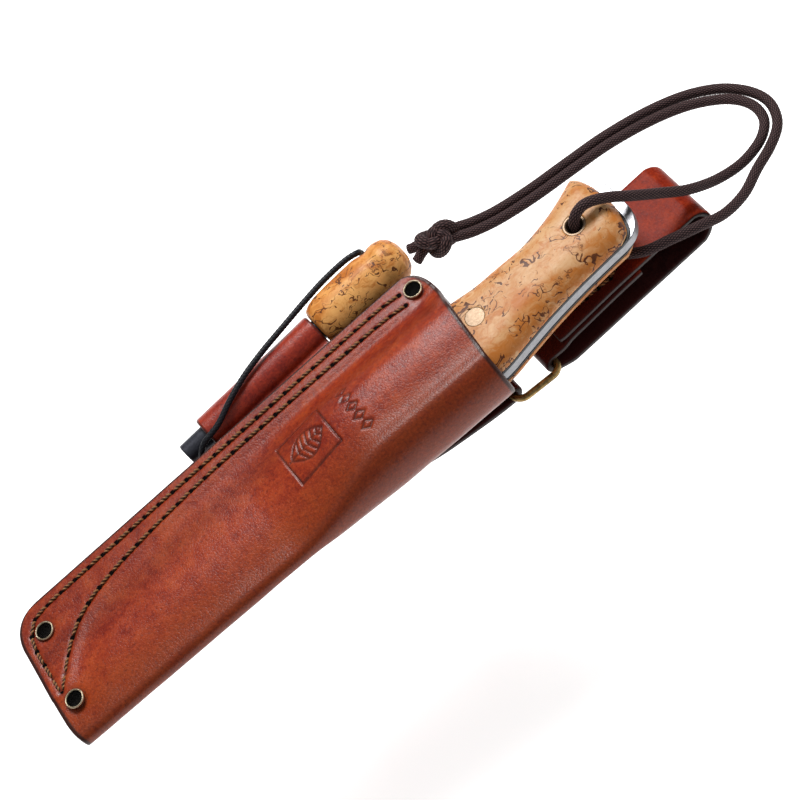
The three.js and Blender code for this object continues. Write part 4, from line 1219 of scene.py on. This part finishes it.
def build_fire_steel():
    """The turned handle and the rod, both round the fire steel's axis."""
    profile = rounded([
        (0, 85.4), (4.5, 85.4), (4.5, 66.6), (6.4, 66.6), (8.0, 67.3), (9.1, 69.4), (9.8, 73), (10, 79), (10, 88),
        (9.9, 92), (9.6, 94), (9.15, 95.6), (9.0, 97.1), (9.15, 98.6), (9.5, 100), (9.4, 102), (8.5, 105),
        (6.4, 107.2), (3.4, 108.4), (0, 108.6)], 0.6, 4)
    points, faces = lathe(profile, 96, from_steel)
    make_piece("firesteel_handle_burl", points, faces, BURL_ROOT, "fire_steel", "firesteel_handle")
    profile = rounded([(0, 0), (3.8, 0), (4.2, 0.4), (4.2, 84.6), (3.8, 85), (0, 85)], 0.2, 3)
    points, faces = lathe(profile, 48, from_steel)
    make_piece("ferro_rod_bar", points, faces, FERRO_LOOK, "fire_steel", "ferro_rod")


def build_sleeve():
    """A strip of leather wrapped round the rod, its two ends pinched together and sewn into the edge."""
    start, end = SLEEVE_ENDS
    a = np.radians(np.linspace(-76, 256, 58))
    rings = []
    for x in np.linspace(start, end, 96):
        lip = 0.45 * (1 - min((x - start) / 0.8, (end - x) / 0.8, 1)) ** 2
        seam = EDGE_Y - 6.4 - (STEEL_Y + math.tan(STEEL_TURN) * x)
        wrap = (6.9 - lip) * np.stack([np.sin(a), np.cos(a)], 1)
        low, high = -1.76 + lip * 0.3, 1.76 - lip * 0.3
        tongue = [(-8.6, low), (-10, low), (seam, low), (seam, high), (-10, high), (-8.6, high)]
        rings.append([(x, y, z) for y, z in [*wrap, *tongue]])
    points, faces = lofted(rings)
    dark = np.zeros((len(rings), len(rings[0])))
    dark[:2] = dark[-2:] = 0.7
    points[:, 1] += 0.10 * lumps(points, 9.0, 4.0) * np.sign(points[:, 1])
    piece = make_piece("firesteel_sleeve_leather", from_steel(points), faces, SLEEVE_LOOK, "sheath",
                       "firesteel_sleeve", {"dark": np.concatenate([dark.ravel(), [0.7, 0.7]])})
    cut_away(piece, *lathe([(0, 0), (4.6, 0), (4.6, 80), (0, 80)], 40, from_steel))


ELASTIC_ROUTE = [
    (3.2, -12.4, 0), (3.2, -9.2, 0), (3.6, -6.9, 1.7), (5.6, -6.4, 4.5), (8.6, -6, 6.3), (12, -5.7, 6.8),
    (17, -4.9, 7.3), (26, -1.8, 8.8), (35.5, 1.4, 9), (46, 4, 8.6), (58, 6.2, 8), (70, 8.5, 7.1),
    (80, 9.9, 6.5), (90, 10.1, 6.1), (95.5, 9.4, 5.4), (97.1, 10.6, 2), (97.1, 9.8, -5), (97.1, 4.6, -10),
    (97.1, -2.6, -10.7), (97, -8, -7.7), (94.6, -9.6, -6.6), (88, -9.8, -6.9), (80, -9.8, -7), (66, -9.8, -7.1),
    (50, -9.7, -7), (34, -9.7, -7), (20, -9.7, -7), (15.6, -8.7, -7), (12.6, -7.5, -6.4), (10.8, -7.1, -5),
    (9, -7.1, -2.8), (7.7, -7.5, -1), (6.8, -9.4, 0), (6.8, -12.4, 0),
]

build_fire_steel()
build_sleeve()
braided("elastic_loop_cord", from_steel(spline(ELASTIC_ROUTE, 0.4)), 1.2, "sheath", "elastic_cord", ELASTIC_LOOK,
        "elastic_loop", sides=28, carriers=6, pitch=1.5, depth=0.16, step=0.34, blunt=0.3)

# ---------- the welt keeps its CAD shape and gets the leather edge's look ----------
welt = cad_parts["welt"]
welt.data.materials.clear()
welt.data.materials.append(EDGE_LOOK)


# ---------- studio ----------
FLOOR_HALF, FLOOR_GLOW, SKY = 3.0, 0.66, 0.25
LAMPS = [  # name, place, size, watts
    ("key", (0.22, 0.57, 1.01), 0.50, 15.5),
    ("overhead", (-0.35, -0.15, 1.15), 1.0, 1.0),
    ("right_fill", (0.95, -0.8, 0.7), 0.9, 1.6),
]


def build_studio():
    """A white floor that glows a little, a large soft key light beyond the sheath and two weak fills.
    The floor stands LOOP_REACH below the object, so that the belt loop stays in sight as it turns down."""
    low = cad_box[0][2] - LOOP_REACH * MM
    floor_look = Look("studio_floor")
    tint = floor_look.mix(floor_look.noise(0.004), (0.90, 0.90, 0.90), (0.93, 0.93, 0.93))
    floor_look.set(Base_Color=tint, Roughness=0.9, Emission_Color=(1, 1, 1, 1), Emission_Strength=FLOOR_GLOW)
    mesh = bpy.data.meshes.new("floor")
    corners = [(x * FLOOR_HALF, y * FLOOR_HALF, low) for x, y in ((-1, -1), (1, -1), (1, 1), (-1, 1))]
    mesh.from_pydata(corners, [], [(0, 1, 2, 3)])
    mesh.materials.append(floor_look.material)
    placed("floor", mesh)
    for name, place, size, watts in LAMPS:
        data = bpy.data.lights.new(name, "AREA")
        data.size, data.energy = size, watts
        lamp = placed(name, data)
        lamp.location = place
        lamp.rotation_euler = (Vector((0, 0, 0.02)) - Vector(place)).to_track_quat("-Z", "Y").to_euler()
    world = bpy.data.worlds.new("studio")
    world.use_nodes = True
    background = world.node_tree.nodes["Background"].inputs
    background["Color"].default_value = (1, 1, 1, 1)
    background["Strength"].default_value = SKY
    bpy.context.scene.world = world
    bpy.context.scene.view_settings.view_transform = "Standard"


build_studio()
